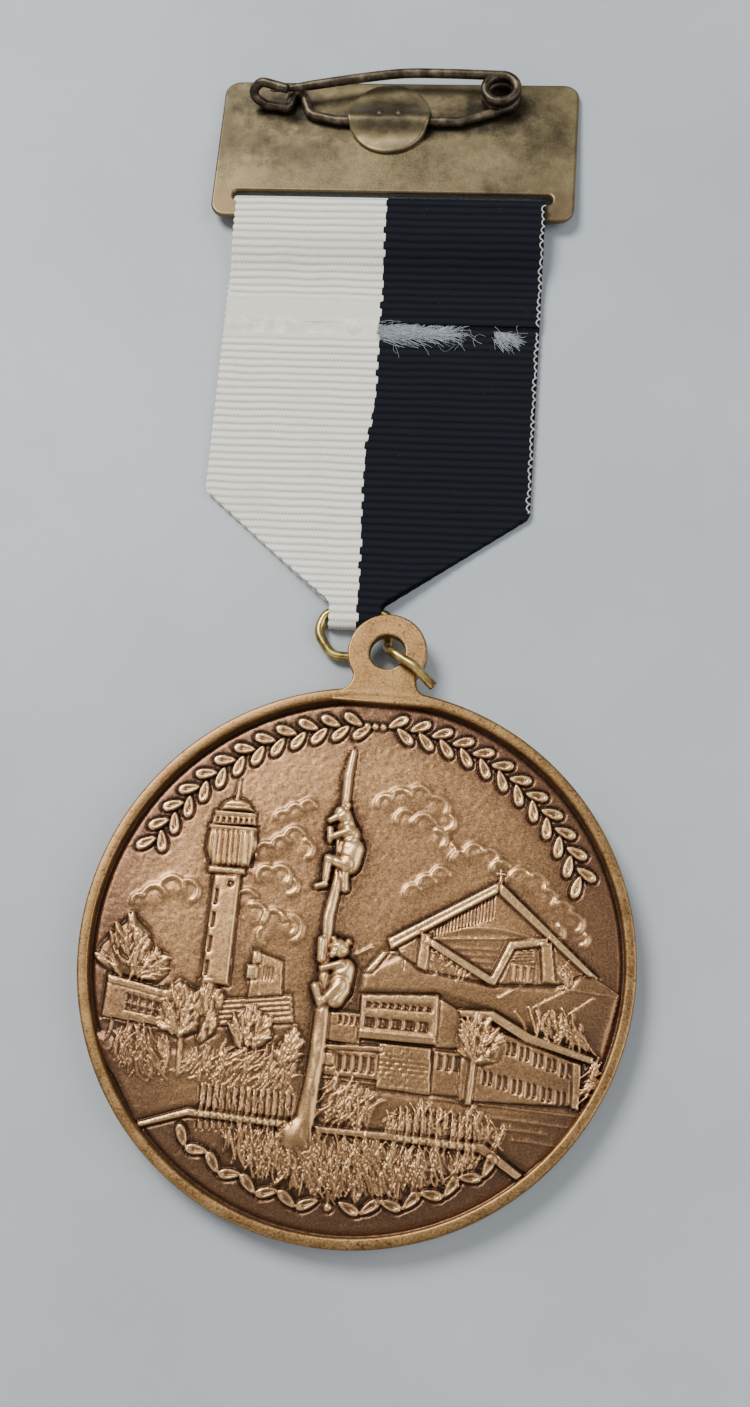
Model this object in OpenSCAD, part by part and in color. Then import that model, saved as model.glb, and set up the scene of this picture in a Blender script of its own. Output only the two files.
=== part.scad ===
// Pinned ribbon medal: slotted brooch plate, safety pin, looped ribbon,
// open jump ring and a struck medal with an eyelet. Units are millimetres.
// Lies flat: +Z up out of the struck face, +Y towards the brooch plate.

/* [Medal] */
// Outer diameter of the medal
medal_d = 60; // [40:1:80]
// Full thickness at the raised rim
medal_t = 3.6; // [2.5:0.1:5]
// Width of the flat rim
rim_w = 1.2; // [0.6:0.1:3]
// Height of the sunken field above the back
field_z = 2.5; // [1.5:0.1:4]
// Distance from the medal centre to the eyelet centre
eye_y = 34.3; // [28:0.1:44]
// Outer diameter of the eyelet
eye_d = 9.0; // [6:0.1:12]
// Diameter of the eyelet hole
eye_hole_d = 4.0; // [2.5:0.1:6]
// Thickness of the eyelet
eye_t = 1.4; // [0.8:0.1:3]
// Turn of the medal on its ring at rest, degrees
medal_turn = -2; // [-10:0.5:10]

/* [Ribbon] */
// Ribbon width
ribbon_w = 38.4; // [25:0.1:50]
// Cloth thickness
ribbon_t = 0.35; // [0.2:0.05:0.8]
// Sideways place of the ribbon's middle
ribbon_x = -2.9; // [-6:0.1:6]
// Height of the left corner of the point
corner_l = 54.4; // [48:0.1:62]
// Height of the right corner of the point
corner_r = 52.4; // [48:0.1:62]
// Cut end of the upper layer
tail_y = 77.0; // [62:0.5:86]

/* [Brooch plate] */
// Plate width
plate_w = 45.1; // [38:0.1:55]
// Plate height
plate_h = 20.5; // [14:0.1:26]
// Plate thickness
plate_t = 0.8; // [0.5:0.1:1.5]
// Corner radius
plate_r = 2.0; // [0:0.1:4]
// Width of the strap under the slot
strap_h = 2.4; // [1.6:0.1:4]
// Slot height
slot_h = 1.4; // [0.9:0.1:3]
// Slot width
slot_w = 39.6; // [26:0.1:46]

/* [Safety pin] */
// Pin wire diameter
pin_d = 1.2; // [0.8:0.05:1.6]
// Mean diameter of the spring coil
coil_d = 4.0; // [3:0.1:6]
// Retaining disc diameter
disc_d = 10.4; // [6:0.1:14]
// Retaining disc thickness
disc_t = 0.5; // [0.3:0.05:1]

/* [Jump ring] */
// Ring wire diameter
ring_d = 1.1; // [0.8:0.05:1.6]

/* [Hidden] */
$fn = 64;
medal_r = medal_d / 2;
pr = pin_d / 2;
rr = ring_d / 2;
shift_y = -40.845;
strap_r = strap_h / 2;
cav_r = strap_r + 0.05;
axis_z = cav_r + ribbon_t;
axis_ly = -plate_h / 2 + strap_r;
tilt = asin((axis_z - plate_t / 2) / (plate_h - strap_r));
bar_x = -2.7;
bar_y = 101.15;
bar_z = plate_h / 2 * sin(tilt);
axis_y = bar_y + axis_ly * cos(tilt) + plate_t / 2 * sin(tilt);
tun_y = 39.6;
tun_h = rr + 0.05;
tun_z = ribbon_t + tun_h;
tab_l = -6.0;
tab_r = -0.1;
tab_y = 40.6;
arm_z = plate_t + pr + 0.03;
needle_z = arm_z + pin_d + 0.3;
hook_z = needle_z + pin_d + 0.16;
coil = [12.76, 7.75];
coil_r = coil_d / 2;
disc_x = -1.1;
disc_y = 4.45;
arm_y = 3.75;
pad_y = 82;
flat_y = 48;
lap = 0.06;
eye_z = medal_t - eye_t;
rel_z = medal_t - 0.25;
relief_h = rel_z - field_z;

// Straight round rod between two points.
module rod(a, b, r) {
  d = b - a;
  l = norm(d);
  translate(a)
    rotate([0, acos(d[2] / l), atan2(d[1], d[0])])
      cylinder(h = l, r = r);
}

function unit(v) = v / norm(v);
function turn(p, i) = acos(min(1, unit(p[i] - p[i - 1]) * unit(p[i + 1] - p[i])));
function cut(p, b, i) = i <= 0 || i >= len(p) - 1 ? 0 : b[i] * tan(turn(p, i) / 2);

// One round bend of a wire at point i, bend radius b.
module bend(p, i, b, r) {
  u = unit(p[i] - p[i - 1]);
  v = unit(p[i + 1] - p[i]);
  a = turn(p, i);
  n = unit(cross(u, v));
  c = p[i] + unit(v - u) * b / cos(a / 2);
  x = unit(p[i] - u * b * tan(a / 2) - c);
  multmatrix([[x[0], u[0], n[0], c[0]],
              [x[1], u[1], n[1], c[1]],
              [x[2], u[2], n[2], c[2]],
              [0, 0, 0, 1]])
    rotate_extrude(angle = a) translate([b, 0]) circle(r = r + lap / 3, $fn = 32);
}

// Bent wire through points p with bend radii b. Each straight ends a little
// inside the next bend, whose tube is a trace thicker.
module wire(p, b, r) {
  for (i = [0 : len(p) - 2]) {
    d = unit(p[i + 1] - p[i]);
    rod(p[i] + d * (cut(p, b, i) - lap), p[i + 1] - d * (cut(p, b, i + 1) - lap), r);
  }
  for (i = [1 : len(p) - 2]) bend(p, i, b[i], r);
}

module block(x0, y0, x1, y1, h) {
  translate([x0, y0, field_z - 0.2]) cube([x1 - x0, y1 - y0, h + 0.2]);
}

module shape(p, h) {
  translate([0, 0, field_z - 0.2]) linear_extrude(height = h + 0.2) polygon(p);
}

module dot(x, y, r, h) {
  translate([x, y, field_z - 0.2]) cylinder(h = h + 0.2, r = r, $fn = 24);
}

// Tall tower with a wide head and an aerial.
module tower() {
  shape([[-16.1, 8.2], [-12.6, 8.4], [-11.2, -3.6], [-14.6, -4.0]], 0.55);
  shape([[-16.9, 8.6], [-12.2, 9.0], [-11.2, 12.2], [-12.0, 14.6], [-14.0, 16.2],
         [-15.6, 16.2], [-17.4, 14.2], [-17.6, 11.0]], 0.75);
  block(-14.9, 16.0, -14.5, 18.2, 0.4);
}

// Central trunk with a flared foot.
module trunk() {
  shape([[-3.6, -19.6], [-2.9, -14.0], [-3.2, -8.0], [-2.6, 0.0], [-2.4, 8.0], [-2.0, 21.8],
         [-3.2, 22.0], [-3.9, 8.0], [-4.4, 0.0], [-4.9, -8.0], [-5.4, -15.0], [-7.6, -19.0]], 0.6);
}

// Small climbing bear: body, head, ear and one leg.
module bear(x, y, s) {
  translate([x, y, 0]) {
    dot(0, 0, 1.9, 0.8);
    dot(-0.2 * s, 1.9, 1.55, 0.75);
    dot(-0.5 * s, 4.0, 1.25, 0.8);
    dot(0.4 * s, 5.0, 0.45, 0.7);
    dot(-1.6 * s, -1.9, 0.75, 0.6);
    dot(-2.0 * s, -3.0, 0.6, 0.55);
  }
}

// Wide-roofed hall with slatted gable.
module hall() {
  shape([[14.9, 9.6], [3.6, 2.6], [3.8, 1.4], [14.9, 8.2]], 0.7);
  shape([[14.9, 9.6], [26.2, -0.4], [24.8, -0.6], [14.9, 8.2]], 0.65);
  for (i = [0 : 6]) block(8.0 + i * 0.9, 3.9 + i * 0.12, 8.5 + i * 0.9, 4.6 + i * 0.52, 0.3);
  shape([[7.0, 3.0], [14.4, -1.0], [16.4, 3.2], [21.6, 3.4], [21.6, 2.6], [17.2, 2.4],
         [15.0, -1.9], [13.6, -1.7], [6.6, 2.2]], 0.55);
  block(5.6, -0.6, 7.0, 2.9, 0.45);
  block(19.8, -1.6, 21.4, 2.6, 0.45);
}

// Long low building with two window rows and a lower wing.
module school() {
  difference() {
    shape([[0.9, -4.3], [9.4, -3.5], [9.4, -9.2], [0.7, -8.8]], 0.5);
    for (i = [0 : 3]) translate([1.4 + i * 1.95, -7.0, field_z + 0.3]) cube([1.4, 1.0, 1]);
    for (i = [0 : 3]) translate([1.4 + i * 1.95, -5.4, field_z + 0.3]) cube([1.4, 0.8, 1]);
  }
  shape([[3.4, -9.0], [9.4, -9.4], [9.2, -14.2], [3.2, -13.6]], 0.35);
  difference() {
    shape([[14.0, -5.2], [25.0, -8.2], [24.4, -14.2], [13.4, -13.4]], 0.4);
    for (i = [0 : 4]) translate([15.2 + i * 1.8, -9.8 - i * 0.2, field_z + 0.2]) cube([1.1, 1.4, 1]);
    for (i = [0 : 4]) translate([15.0 + i * 1.8, -12.8 - i * 0.1, field_z + 0.2]) cube([1.1, 1.4, 1]);
  }
  shape([[10.6, -3.8], [13.4, -4.2], [25.4, -8.4], [25.0, -9.2], [13.2, -5.2], [10.6, -4.8]], 0.6);
}

module house() {
  difference() {
    shape([[-26.4, -4.4], [-18.4, -6.2], [-18.6, -9.4], [-26.6, -9.0]], 0.4);
    translate([-23.8, -8.4, field_z + 0.2]) cube([4.6, 1.8, 1]);
  }
  block(-11.4, -6.2, -7.4, -1.6, 0.3);
  block(-13.0, -8.6, -6.6, -6.6, 0.35);
}

module tree(x, y, s) {
  dot(x, y, 1.8 * s, 0.5);
  dot(x - 1.4 * s, y - 1.5 * s, 1.3 * s, 0.42);
  dot(x + 1.4 * s, y - 1.3 * s, 1.4 * s, 0.45);
  dot(x + 0.2 * s, y + 1.6 * s, 1.2 * s, 0.4);
  block(x - 0.2, y - 4.4 * s, x + 0.2, y - 1.5 * s, 0.4);
}

module cloud(x, y, s) {
  dot(x, y, 1.6 * s, 0.2);
  dot(x - 1.7 * s, y - 0.6 * s, 1.2 * s, 0.16);
  dot(x + 1.8 * s, y - 0.4 * s, 1.3 * s, 0.18);
}

module fence(x0, y0, x1, y1, n) {
  for (i = [0 : n]) {
    x = x0 + (x1 - x0) * i / n;
    y = y0 + (y1 - y0) * i / n;
    block(x - 0.12, y - 2.2, x + 0.12, y + 2.2, 0.4);
  }
}

// Generic leaf border in place of lettering.
module leaves() {
  for (a = [-30 : 12 : 210])
    rotate([0, 0, a]) translate([25.7, 0, field_z - 0.2])
      linear_extrude(height = 0.65) polygon([[-1.2, -1.5], [0.9, -0.9], [1.2, 1.5], [-0.9, 0.9]]);
  for (a = [226 : 11 : 314])
    rotate([0, 0, a]) translate([25.7, 0, field_z - 0.2])
      cylinder(h = 0.6, r = 0.9, $fn = 24);
}

module medal_body() {
  difference() {
    union() {
      cylinder(h = 0.4, r1 = medal_r - 0.4, r2 = medal_r, $fn = 128);
      translate([0, 0, 0.4]) cylinder(h = medal_t - 0.6, r = medal_r, $fn = 128);
      translate([0, 0, medal_t - 0.2]) cylinder(h = 0.2, r1 = medal_r, r2 = medal_r - 0.2, $fn = 128);
      translate([0, eye_y, eye_z]) cylinder(h = eye_t, r = eye_d / 2);
      translate([-3.6, eye_y - 8, eye_z]) cube([7.2, 6, eye_t]);
    }
    translate([0, 0, field_z]) cylinder(h = 9, r = medal_r - rim_w, $fn = 128);
    difference() {
      translate([0, 0, field_z - 0.15]) cylinder(h = 9, r = medal_r - rim_w, $fn = 128);
      translate([0, 0, field_z - 1]) cylinder(h = 9, r = medal_r - rim_w - 0.5, $fn = 128);
    }
    translate([0, eye_y, -1]) cylinder(h = 9, r = eye_hole_d / 2);
  }
}

module medal() {
  color([0.62, 0.46, 0.32])
    translate([0, shift_y, 0]) rotate([0, 0, medal_turn]) {
      medal_body();
      intersection() {
        translate([0, 0, field_z - 0.2]) cylinder(h = 2, r = medal_r - rim_w - 0.6, $fn = 128);
        union() {
          tower();
          trunk();
          bear(-1.6, 8.6, 1);
          bear(-1.4, -4.4, -1);
          hall();
          school();
          house();
          tree(-23.0, -0.6, 1.1);
          tree(-18.4, -7.4, 1.1);
          tree(-10.2, -9.6, 1.0);
          tree(12.6, -8.2, 1.2);
          cloud(-20.6, 7.4, 1.1);
          cloud(-8.6, 7.6, 1.2);
          cloud(4.4, 15.4, 1.3);
          cloud(12.0, 11.6, 1.0);
          fence(-14.6, -15.6, -6.0, -16.6, 9);
          fence(5.6, -16.6, 12.6, -17.8, 8);
          shape([[-20.5, -17.6], [-14.6, -16.0], [-6.0, -17.6], [-6.0, -18.2], [-14.6, -16.7],
                 [-20.3, -18.3]], 0.45);
          shape([[-1.4, -17.8], [13.6, -18.8], [18.0, -21.0], [17.6, -21.6], [13.4, -19.5],
                 [-1.4, -18.5]], 0.45);
          leaves();
        }
      }
    }
}

// Open jump ring: through the ribbon, round behind the eyelet on the left,
// and from the right up through the eyelet hole and over its lower edge.
module jump_ring() {
  ex = -eye_y * sin(medal_turn);
  ey = eye_y * cos(medal_turn);
  over_z = medal_t + 0.85;
  color([0.66, 0.53, 0.24])
    translate([0, shift_y, 0]) {
      wire([[-2.0, 34.3, tun_z], [-7.1, 34.3, tun_z], [-7.1, tun_y, tun_z],
            [0.9, tun_y, tun_z], [0.95, 35.2, tun_z],
            [ex + 0.6, ey - 0.5, over_z], [ex + 5.4, ey - 3.8, over_z]],
           [0, 2.6, 0.9, 0.9, 0.8, 0.8, 0], rr);
    }
}

// Plan outline of the ribbon with its folded point.
module outline(x0, x1) {
  translate([0, 0, -1]) linear_extrude(height = 8) intersection() {
    polygon([[ribbon_x - ribbon_w / 2, 98], [ribbon_x - ribbon_w / 2, corner_l],
             [tab_l, tab_y], [tab_l, 37], [tab_r, 37], [tab_r, tab_y],
             [ribbon_x + ribbon_w / 2, corner_r], [ribbon_x + ribbon_w / 2, 98]]);
    translate([x0, 30]) square([x1 - x0, 70]);
  }
}

// Side profile of the closed loop, drawn as (y, z).
module loop_profile() {
  t = ribbon_t;
  difference() {
    union() {
      translate([axis_y, axis_z]) circle(r = cav_r + t);
      translate([tun_y - 1.05, tun_z]) circle(r = tun_z);
      polygon([[axis_y, 0], [axis_y, 2 * axis_z], [axis_y - 4, 2 * axis_z], [pad_y, 3.2 * t],
               [tail_y, 3.2 * t], [tail_y, 2.2 * t + 0.05], [flat_y, 2.2 * t + 0.05],
               [tun_y + 1.2, 2 * tun_z], [tun_y - 1.05, 2 * tun_z], [tun_y - 1.05, 0]]);
    }
    translate([axis_y, axis_z]) circle(r = cav_r);
    translate([tun_y - 1.05, tun_z]) circle(r = tun_h);
    polygon([[axis_y, t], [axis_y, 2 * axis_z - t], [axis_y - 4, 2 * axis_z - t],
             [pad_y, 2.2 * t + 0.05], [pad_y, 1.2 * t + 0.05], [flat_y, 1.2 * t + 0.05],
             [tun_y + 1.2, 2 * tun_z - t], [tun_y - 1.05, 2 * tun_z - t], [tun_y - 1.05, t]]);
  }
}

module ribbon_part(x0, x1) {
  intersection() {
    translate([x0, 0, 0]) rotate([90, 0, 90]) linear_extrude(height = x1 - x0) loop_profile();
    outline(x0, x1);
  }
}

module ribbon_light() {
  color([0.86, 0.85, 0.8])
    translate([0, shift_y, 0]) ribbon_part(ribbon_x - ribbon_w / 2, ribbon_x);
}

module ribbon_dark() {
  color([0.05, 0.05, 0.06])
    translate([0, shift_y, 0]) ribbon_part(ribbon_x, ribbon_x + ribbon_w / 2);
}

// Squeezed-out glue along the cut end of the upper layer.
module ribbon_bond() {
  z = 2.2 * ribbon_t + 0.05;
  color([0.8, 0.77, 0.66])
    translate([ribbon_x - ribbon_w / 2 + 0.6, tail_y - 1.6 + shift_y, z])
      cube([ribbon_w - 1.2, 1.6, 0.15]);
}

// Puts plate-local pieces in place, tipped so the far edge meets the table.
module on_bar() {
  translate([bar_x, bar_y + shift_y, bar_z]) rotate([-tilt, 0, 0]) children();
}

module brooch_plate() {
  w = plate_w / 2;
  h = plate_h / 2;
  e = plate_t / 2;
  color([0.47, 0.38, 0.24])
    on_bar() {
      difference() {
        union() {
          translate([-w + plate_r, -h + strap_h, 0])
            cube([plate_w - 2 * plate_r, plate_h - strap_h, plate_t]);
          translate([-w, -h + strap_h, 0]) cube([plate_w, plate_h - strap_h - plate_r, plate_t]);
          for (s = [-1, 1])
            translate([s * (w - plate_r), h - plate_r, 0]) cylinder(h = plate_t, r = plate_r);
          for (s = [-1, 1]) intersection() {
            translate([s * (w - plate_r), -h + plate_r, 0]) cylinder(h = plate_t, r = plate_r);
            translate([-w, -h, 0]) cube([plate_w, strap_h + 0.01, plate_t]);
          }
          translate([-w + plate_r, -h + e, 0]) cube([plate_w - 2 * plate_r, strap_h, plate_t]);
          rod([-w + plate_r, -h + e, e], [w - plate_r, -h + e, e], e);
        }
        translate([-slot_w / 2, -h + strap_h, -1]) cube([slot_w, slot_h, 3]);
        translate([-slot_w / 2, -h + strap_h - e, -1]) cube([slot_w, e + 0.1, 3]);
      }
      rod([-slot_w / 2 - 0.5, -h + strap_h - e, e], [slot_w / 2 + 0.5, -h + strap_h - e, e], e);
    }
}

// Thin disc pressed over the fixed arm.
module pin_disc() {
  color([0.5, 0.42, 0.28])
    on_bar() difference() {
      union() {
        translate([disc_x, disc_y, plate_t]) cylinder(h = disc_t, r = disc_d / 2);
        intersection() {
          rod([-8, arm_y, arm_z - 0.1], [8, arm_y, arm_z - 0.1], pr + disc_t + 0.1);
          translate([disc_x, disc_y, plate_t]) cylinder(h = 4, r = disc_d / 2);
        }
      }
      rod([-9, arm_y, arm_z], [9, arm_y, arm_z], pr + 0.02);
      translate([-9, arm_y - pr - 0.02, plate_t - 1]) cube([18, pin_d + 0.04, 1 + pr + 0.01]);
    }
}

// Fixed part of the pin: lower coil turn, arm under the disc, catch.
module pin_frame() {
  z = arm_z;
  slant = 20.5;
  q = [coil[0] + coil_r * sin(slant), coil[1] - coil_r * cos(slant), z];
  reach = (q[1] - arm_y) / sin(slant);
  color([0.22, 0.19, 0.16])
    on_bar() {
      translate([coil[0], coil[1], z]) rotate([0, 0, slant - 90])
        rotate_extrude(angle = 345) translate([coil_r, 0]) circle(r = pr + lap / 3, $fn = 32);
      wire([q, q - reach * [cos(slant), sin(slant), 0], [-7.6, arm_y, z], [-11.2, 4.6, z], [-13.2, 9.85, z],
            [-14.0, 5.5, z], [-16.9, 6.0, z], [-18.9, 6.6, z + 1.4],
            [-17.3, 7.3, hook_z], [-13.9, 6.2, hook_z]],
           [0, 2, 2, 1.2, 0.8, 0.7, 0.9, 0.8, 0.8, 0], pr);
    }
}

// Moving part of the pin: upper coil turn and the pointed needle.
module pin_needle() {
  z = needle_z;
  t = [-14.2, 7.4, z];
  k = [-0.1, coil[1] + coil_r, z];
  color([0.25, 0.22, 0.18])
    on_bar() {
      translate([coil[0], coil[1], z]) rotate([0, 0, -255])
        rotate_extrude(angle = 345) translate([coil_r, 0]) circle(r = pr + lap / 3, $fn = 32);
      wire([[coil[0], coil[1] + coil_r, z], k, t], [0, 6, 0], pr);
      translate(t) rotate([0, 90, atan2(t[1] - k[1], t[0] - k[0])])
        cylinder(h = 2.2, r1 = pr + lap / 3, r2 = 0.12);
    }
}

medal();
jump_ring();
ribbon_light();
ribbon_dark();
ribbon_bond();
brooch_plate();
pin_disc();
pin_frame();
pin_needle();
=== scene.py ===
import math

import bmesh
import bpy
import numpy as np
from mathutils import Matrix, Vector
from mathutils.geometry import tessellate_polygon


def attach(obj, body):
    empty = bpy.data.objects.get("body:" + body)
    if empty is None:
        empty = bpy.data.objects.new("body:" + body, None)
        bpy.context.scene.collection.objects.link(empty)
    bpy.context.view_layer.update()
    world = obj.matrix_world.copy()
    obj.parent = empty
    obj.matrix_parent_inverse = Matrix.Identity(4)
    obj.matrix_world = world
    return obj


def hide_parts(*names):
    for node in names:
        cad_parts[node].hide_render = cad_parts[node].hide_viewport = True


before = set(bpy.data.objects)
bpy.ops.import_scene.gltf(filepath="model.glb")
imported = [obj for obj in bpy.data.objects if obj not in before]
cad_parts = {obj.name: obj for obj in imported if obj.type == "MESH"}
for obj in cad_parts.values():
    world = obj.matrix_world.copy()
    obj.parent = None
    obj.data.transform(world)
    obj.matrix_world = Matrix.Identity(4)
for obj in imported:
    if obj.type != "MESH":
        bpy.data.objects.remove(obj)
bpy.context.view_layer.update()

# All sizes are millimetres in the part's own drawing: the medal's middle is at
# the origin, y runs up the ribbon and z up from the table. SHIFT moves the
# drawing to the frame, whose origin is the middle of the whole part.
MM = 0.001
SHIFT = -40.845
TURN = math.radians(-2.0)  # the medal hangs a little clockwise
FIELD_R, WALL_R, RIM_R = 28.98, 28.7, 30.0
FIELD_Z, RIM_H = 2.52, 3.6
EYE_Y, EYE_R, HOLE_R = 34.3, 4.5, 2.0  # the eyelet and its hole
# The plate leans on the ribbon; its own drawing starts at its middle.
TILT = math.radians(3.565)
BAR_X, BAR_Y, BAR_Z = -2.7, 101.15, 0.637
PLATE_W, PLATE_H, PLATE_T = 45.1, 20.5, 0.8
COIL_X, COIL_Y, COIL_R, PIN_R = 12.76, 7.75, 2.0, 0.6
ARM_Y, ARM_Z, NEEDLE_Z, HOOK_Z = 3.75, 1.43, 2.93, 4.29
CAP_X, CAP_Y, CAP_R = -1.1, 4.45, 5.2
# The ribbon: its side edges, the spacing of its ribs and the runs of its loop.
LEFT, RIGHT, PITCH = -22.1, 16.3, 0.96
TAIL_LENGTH, FOLD_LENGTH, FRONT_LENGTH = 15.8, 5.2, 51.0
STRAP_Y, STRAP_Z, STRAP_R = 92.145, 1.6, 1.425  # the fold over the strap
POINT_Y, POINT_Z, POINT_R = 38.55, 0.95, 0.775  # the fold round the ring


# ---------------------------------------------------------------- materials
class Mat:
    """A Principled material, with short names for the nodes used here."""

    def __init__(self, name):
        self.m = bpy.data.materials.new(name)
        self.m.use_nodes = True
        self.t = self.m.node_tree
        self.b = self.t.nodes["Principled BSDF"]

    def node(self, kind, **inputs):
        n = self.t.nodes.new(kind)
        for k, v in inputs.items():
            n.inputs[k.replace("_", " ")].default_value = v
        return n

    def link(self, a, b):
        self.t.links.new(a, b)

    def coords(self):
        return self.node("ShaderNodeTexCoord").outputs["Object"]

    def xyz(self):
        n = self.node("ShaderNodeSeparateXYZ")
        self.link(self.coords(), n.inputs[0])
        return n.outputs

    def noise(self, scale, detail=4.0, rough=0.55):
        n = self.node("ShaderNodeTexNoise", Scale=scale, Detail=detail, Roughness=rough)
        self.link(self.coords(), n.inputs["Vector"])
        return n.outputs["Fac"]

    def ramp(self, fac, stops):
        n = self.node("ShaderNodeValToRGB")
        e = n.color_ramp.elements
        while len(e) < len(stops):
            e.new(0.5)
        for i, (p, c) in enumerate(stops):
            e[i].position = p
            e[i].color = (*c, 1)
        self.link(fac, n.inputs["Fac"])
        return n.outputs["Color"]

    def put(self, socket, v):
        """Gives a socket a number, a colour or another node's output."""
        if isinstance(v, tuple):
            socket.default_value = (*v, 1)
        elif isinstance(v, (int, float)):
            socket.default_value = v
        else:
            self.link(v, socket)

    def mix(self, fac, a, b):
        n = self.node("ShaderNodeMix")
        n.data_type = "RGBA"
        for i, v in ((0, fac), (6, a), (7, b)):
            self.put(n.inputs[i], v)
        return n.outputs[2]

    def math(self, op, a, b=0.0):
        n = self.node("ShaderNodeMath")
        n.operation = op
        self.put(n.inputs[0], a)
        self.put(n.inputs[1], b)
        return n.outputs[0]

    def times(self, a, b):
        return self.math("MULTIPLY", a, b)

    def add(self, *terms):
        out = terms[0]
        for v in terms[1:]:
            out = self.math("ADD", out, v)
        return out

    def sway(self, noise, k):
        """Noise made to swing about zero, k from end to end."""
        return self.times(self.math("SUBTRACT", noise, 0.5), k)

    def attr(self, name):
        n = self.node("ShaderNodeAttribute")
        n.attribute_name = name
        return n.outputs["Fac"]

    def span(self, fac, lo, hi):
        n = self.node("ShaderNodeMapRange", From_Min=lo, From_Max=hi)
        self.link(fac, n.inputs["Value"])
        return n.outputs["Result"]

    def bump(self, height, strength, distance):
        n = self.node("ShaderNodeBump", Strength=strength, Distance=distance)
        self.link(height, n.inputs["Height"])
        self.link(n.outputs["Normal"], self.b.inputs["Normal"])

    def set(self, **kw):
        for k, v in kw.items():
            self.put(self.b.inputs[k.replace("_", " ")], v)


# ---------------------------------------------------------------- mesh help
def to_bar(p):
    """From the plate's drawing to the frame, both in millimetres."""
    c, s = math.cos(-TILT), math.sin(-TILT)
    y, z = p[:, 1] * c - p[:, 2] * s, p[:, 1] * s + p[:, 2] * c
    return np.c_[p[:, 0] + BAR_X, y + BAR_Y + SHIFT, z + BAR_Z]


def to_medal(p):
    """From the medal's drawing, before its turn, to the frame."""
    c, s = math.cos(TURN), math.sin(TURN)
    return np.c_[p[:, 0] * c - p[:, 1] * s, p[:, 0] * s + p[:, 1] * c + SHIFT, p[:, 2]]


def to_row(p):
    """From the part's drawing to the frame."""
    return p + np.array([0, SHIFT, 0.0])


def set_attr(me, key, values):
    me.attributes.new(key, "FLOAT", "POINT").data.foreach_set("value", values.astype(np.float32))


def mesh(name, verts, faces, mat, body, slot, smooth, place=None):
    """A piece from points and faces; edges sharper than smooth degrees stay sharp."""
    v = np.asarray(verts, float)
    if place is not None:
        v = place(v)
    me = bpy.data.meshes.new(name)
    me.from_pydata((v * MM).tolist(), [], faces if isinstance(faces, list) else faces.tolist())
    me.materials.append(mat.m)
    me.validate()
    me.update()
    me.polygons.foreach_set("use_smooth", [True] * len(me.polygons))
    if smooth < 180:
        me.set_sharp_from_angle(angle=math.radians(smooth))
    o = bpy.data.objects.new(name, me)
    bpy.context.scene.collection.objects.link(o)
    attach(o, body)
    return o


def grid_faces(n, m, close_m=False):
    """Four-sided faces of an n by m grid, closed round m if asked."""
    i, j = np.meshgrid(np.arange(n - 1), np.arange(m if close_m else m - 1), indexing="ij")
    k = (j + 1) % m
    return np.stack([i * m + j, (i + 1) * m + j, (i + 1) * m + k, i * m + k], -1).reshape(-1, 4)


def turns(n):
    """n angles evenly round a circle."""
    return np.linspace(0, 2 * math.pi, n, endpoint=False)


def run_length(p):
    """Distance along a line of points, at each of them."""
    return np.r_[0, np.cumsum(np.linalg.norm(np.diff(p, axis=0), axis=1))]


def spline(points, step):
    """Smooth curve through points (centripetal Catmull-Rom)."""
    p = np.asarray(points, float)
    p = np.vstack([2 * p[0] - p[1], p, 2 * p[-1] - p[-2]])
    out = []
    for i in range(1, len(p) - 2):
        a, b, c, d = p[i - 1 : i + 3]
        t0 = 0.0
        t1 = np.linalg.norm(b - a) ** 0.5
        t2 = t1 + np.linalg.norm(c - b) ** 0.5
        t3 = t2 + np.linalg.norm(d - c) ** 0.5
        n = max(2, int(np.linalg.norm(c - b) / step))
        for t in np.linspace(t1, t2, n, endpoint=False):
            a1 = (t1 - t) / (t1 - t0) * a + (t - t0) / (t1 - t0) * b
            a2 = (t2 - t) / (t2 - t1) * b + (t - t1) / (t2 - t1) * c
            a3 = (t3 - t) / (t3 - t2) * c + (t - t2) / (t3 - t2) * d
            b1 = (t2 - t) / (t2 - t0) * a1 + (t - t0) / (t2 - t0) * a2
            b2 = (t3 - t) / (t3 - t1) * a2 + (t - t1) / (t3 - t1) * a3
            out.append((t2 - t) / (t2 - t1) * b1 + (t - t1) / (t2 - t1) * b2)
    out.append(p[-2])
    return np.array(out)


def tube(path, radius, sides, point=None, dome=0.35):
    """Swept round wire with slightly domed ends; point tapers the last part."""
    p = np.asarray(path, float)
    d = np.gradient(p, axis=0)
    d /= np.linalg.norm(d, axis=1)[:, None]
    s = run_length(p)
    r = np.full(len(p), float(radius))
    if point:
        left = s[-1] - s
        r = radius * np.clip(0.06 + 0.94 * np.sqrt(np.clip(left / point, 0, 1)), 0, 1)
    n = np.cross(d[0], [0, 0, 1])
    if np.linalg.norm(n) < 0.2:
        n = np.cross(d[0], [1, 0, 0])
    n /= np.linalg.norm(n)
    rings = []
    a = turns(sides)
    for i in range(len(p)):
        n = n - d[i] * np.dot(n, d[i])
        n /= np.linalg.norm(n)
        b = np.cross(d[i], n)
        rings.append(p[i] + r[i] * (np.cos(a)[:, None] * n + np.sin(a)[:, None] * b))
    first = p[0] + (rings[0] - p[0]) * 0.8 - d[0] * radius * dome * 0.5
    last = p[-1] + (rings[-1] - p[-1]) * 0.8 + d[-1] * r[-1] * dome * 0.5
    rings = [first] + rings + [last]
    v = np.vstack(rings + [p[0] - d[0] * radius * dome * 0.6, p[-1] + d[-1] * r[-1] * dome * 0.6])
    f = grid_faces(len(rings), sides, True).tolist()
    m = len(rings) * sides
    for j in range(sides):
        f.append([m, j, (j + 1) % sides])
        f.append([m + 1, m - sides + (j + 1) % sides, m - sides + j])
    return v, f


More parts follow.
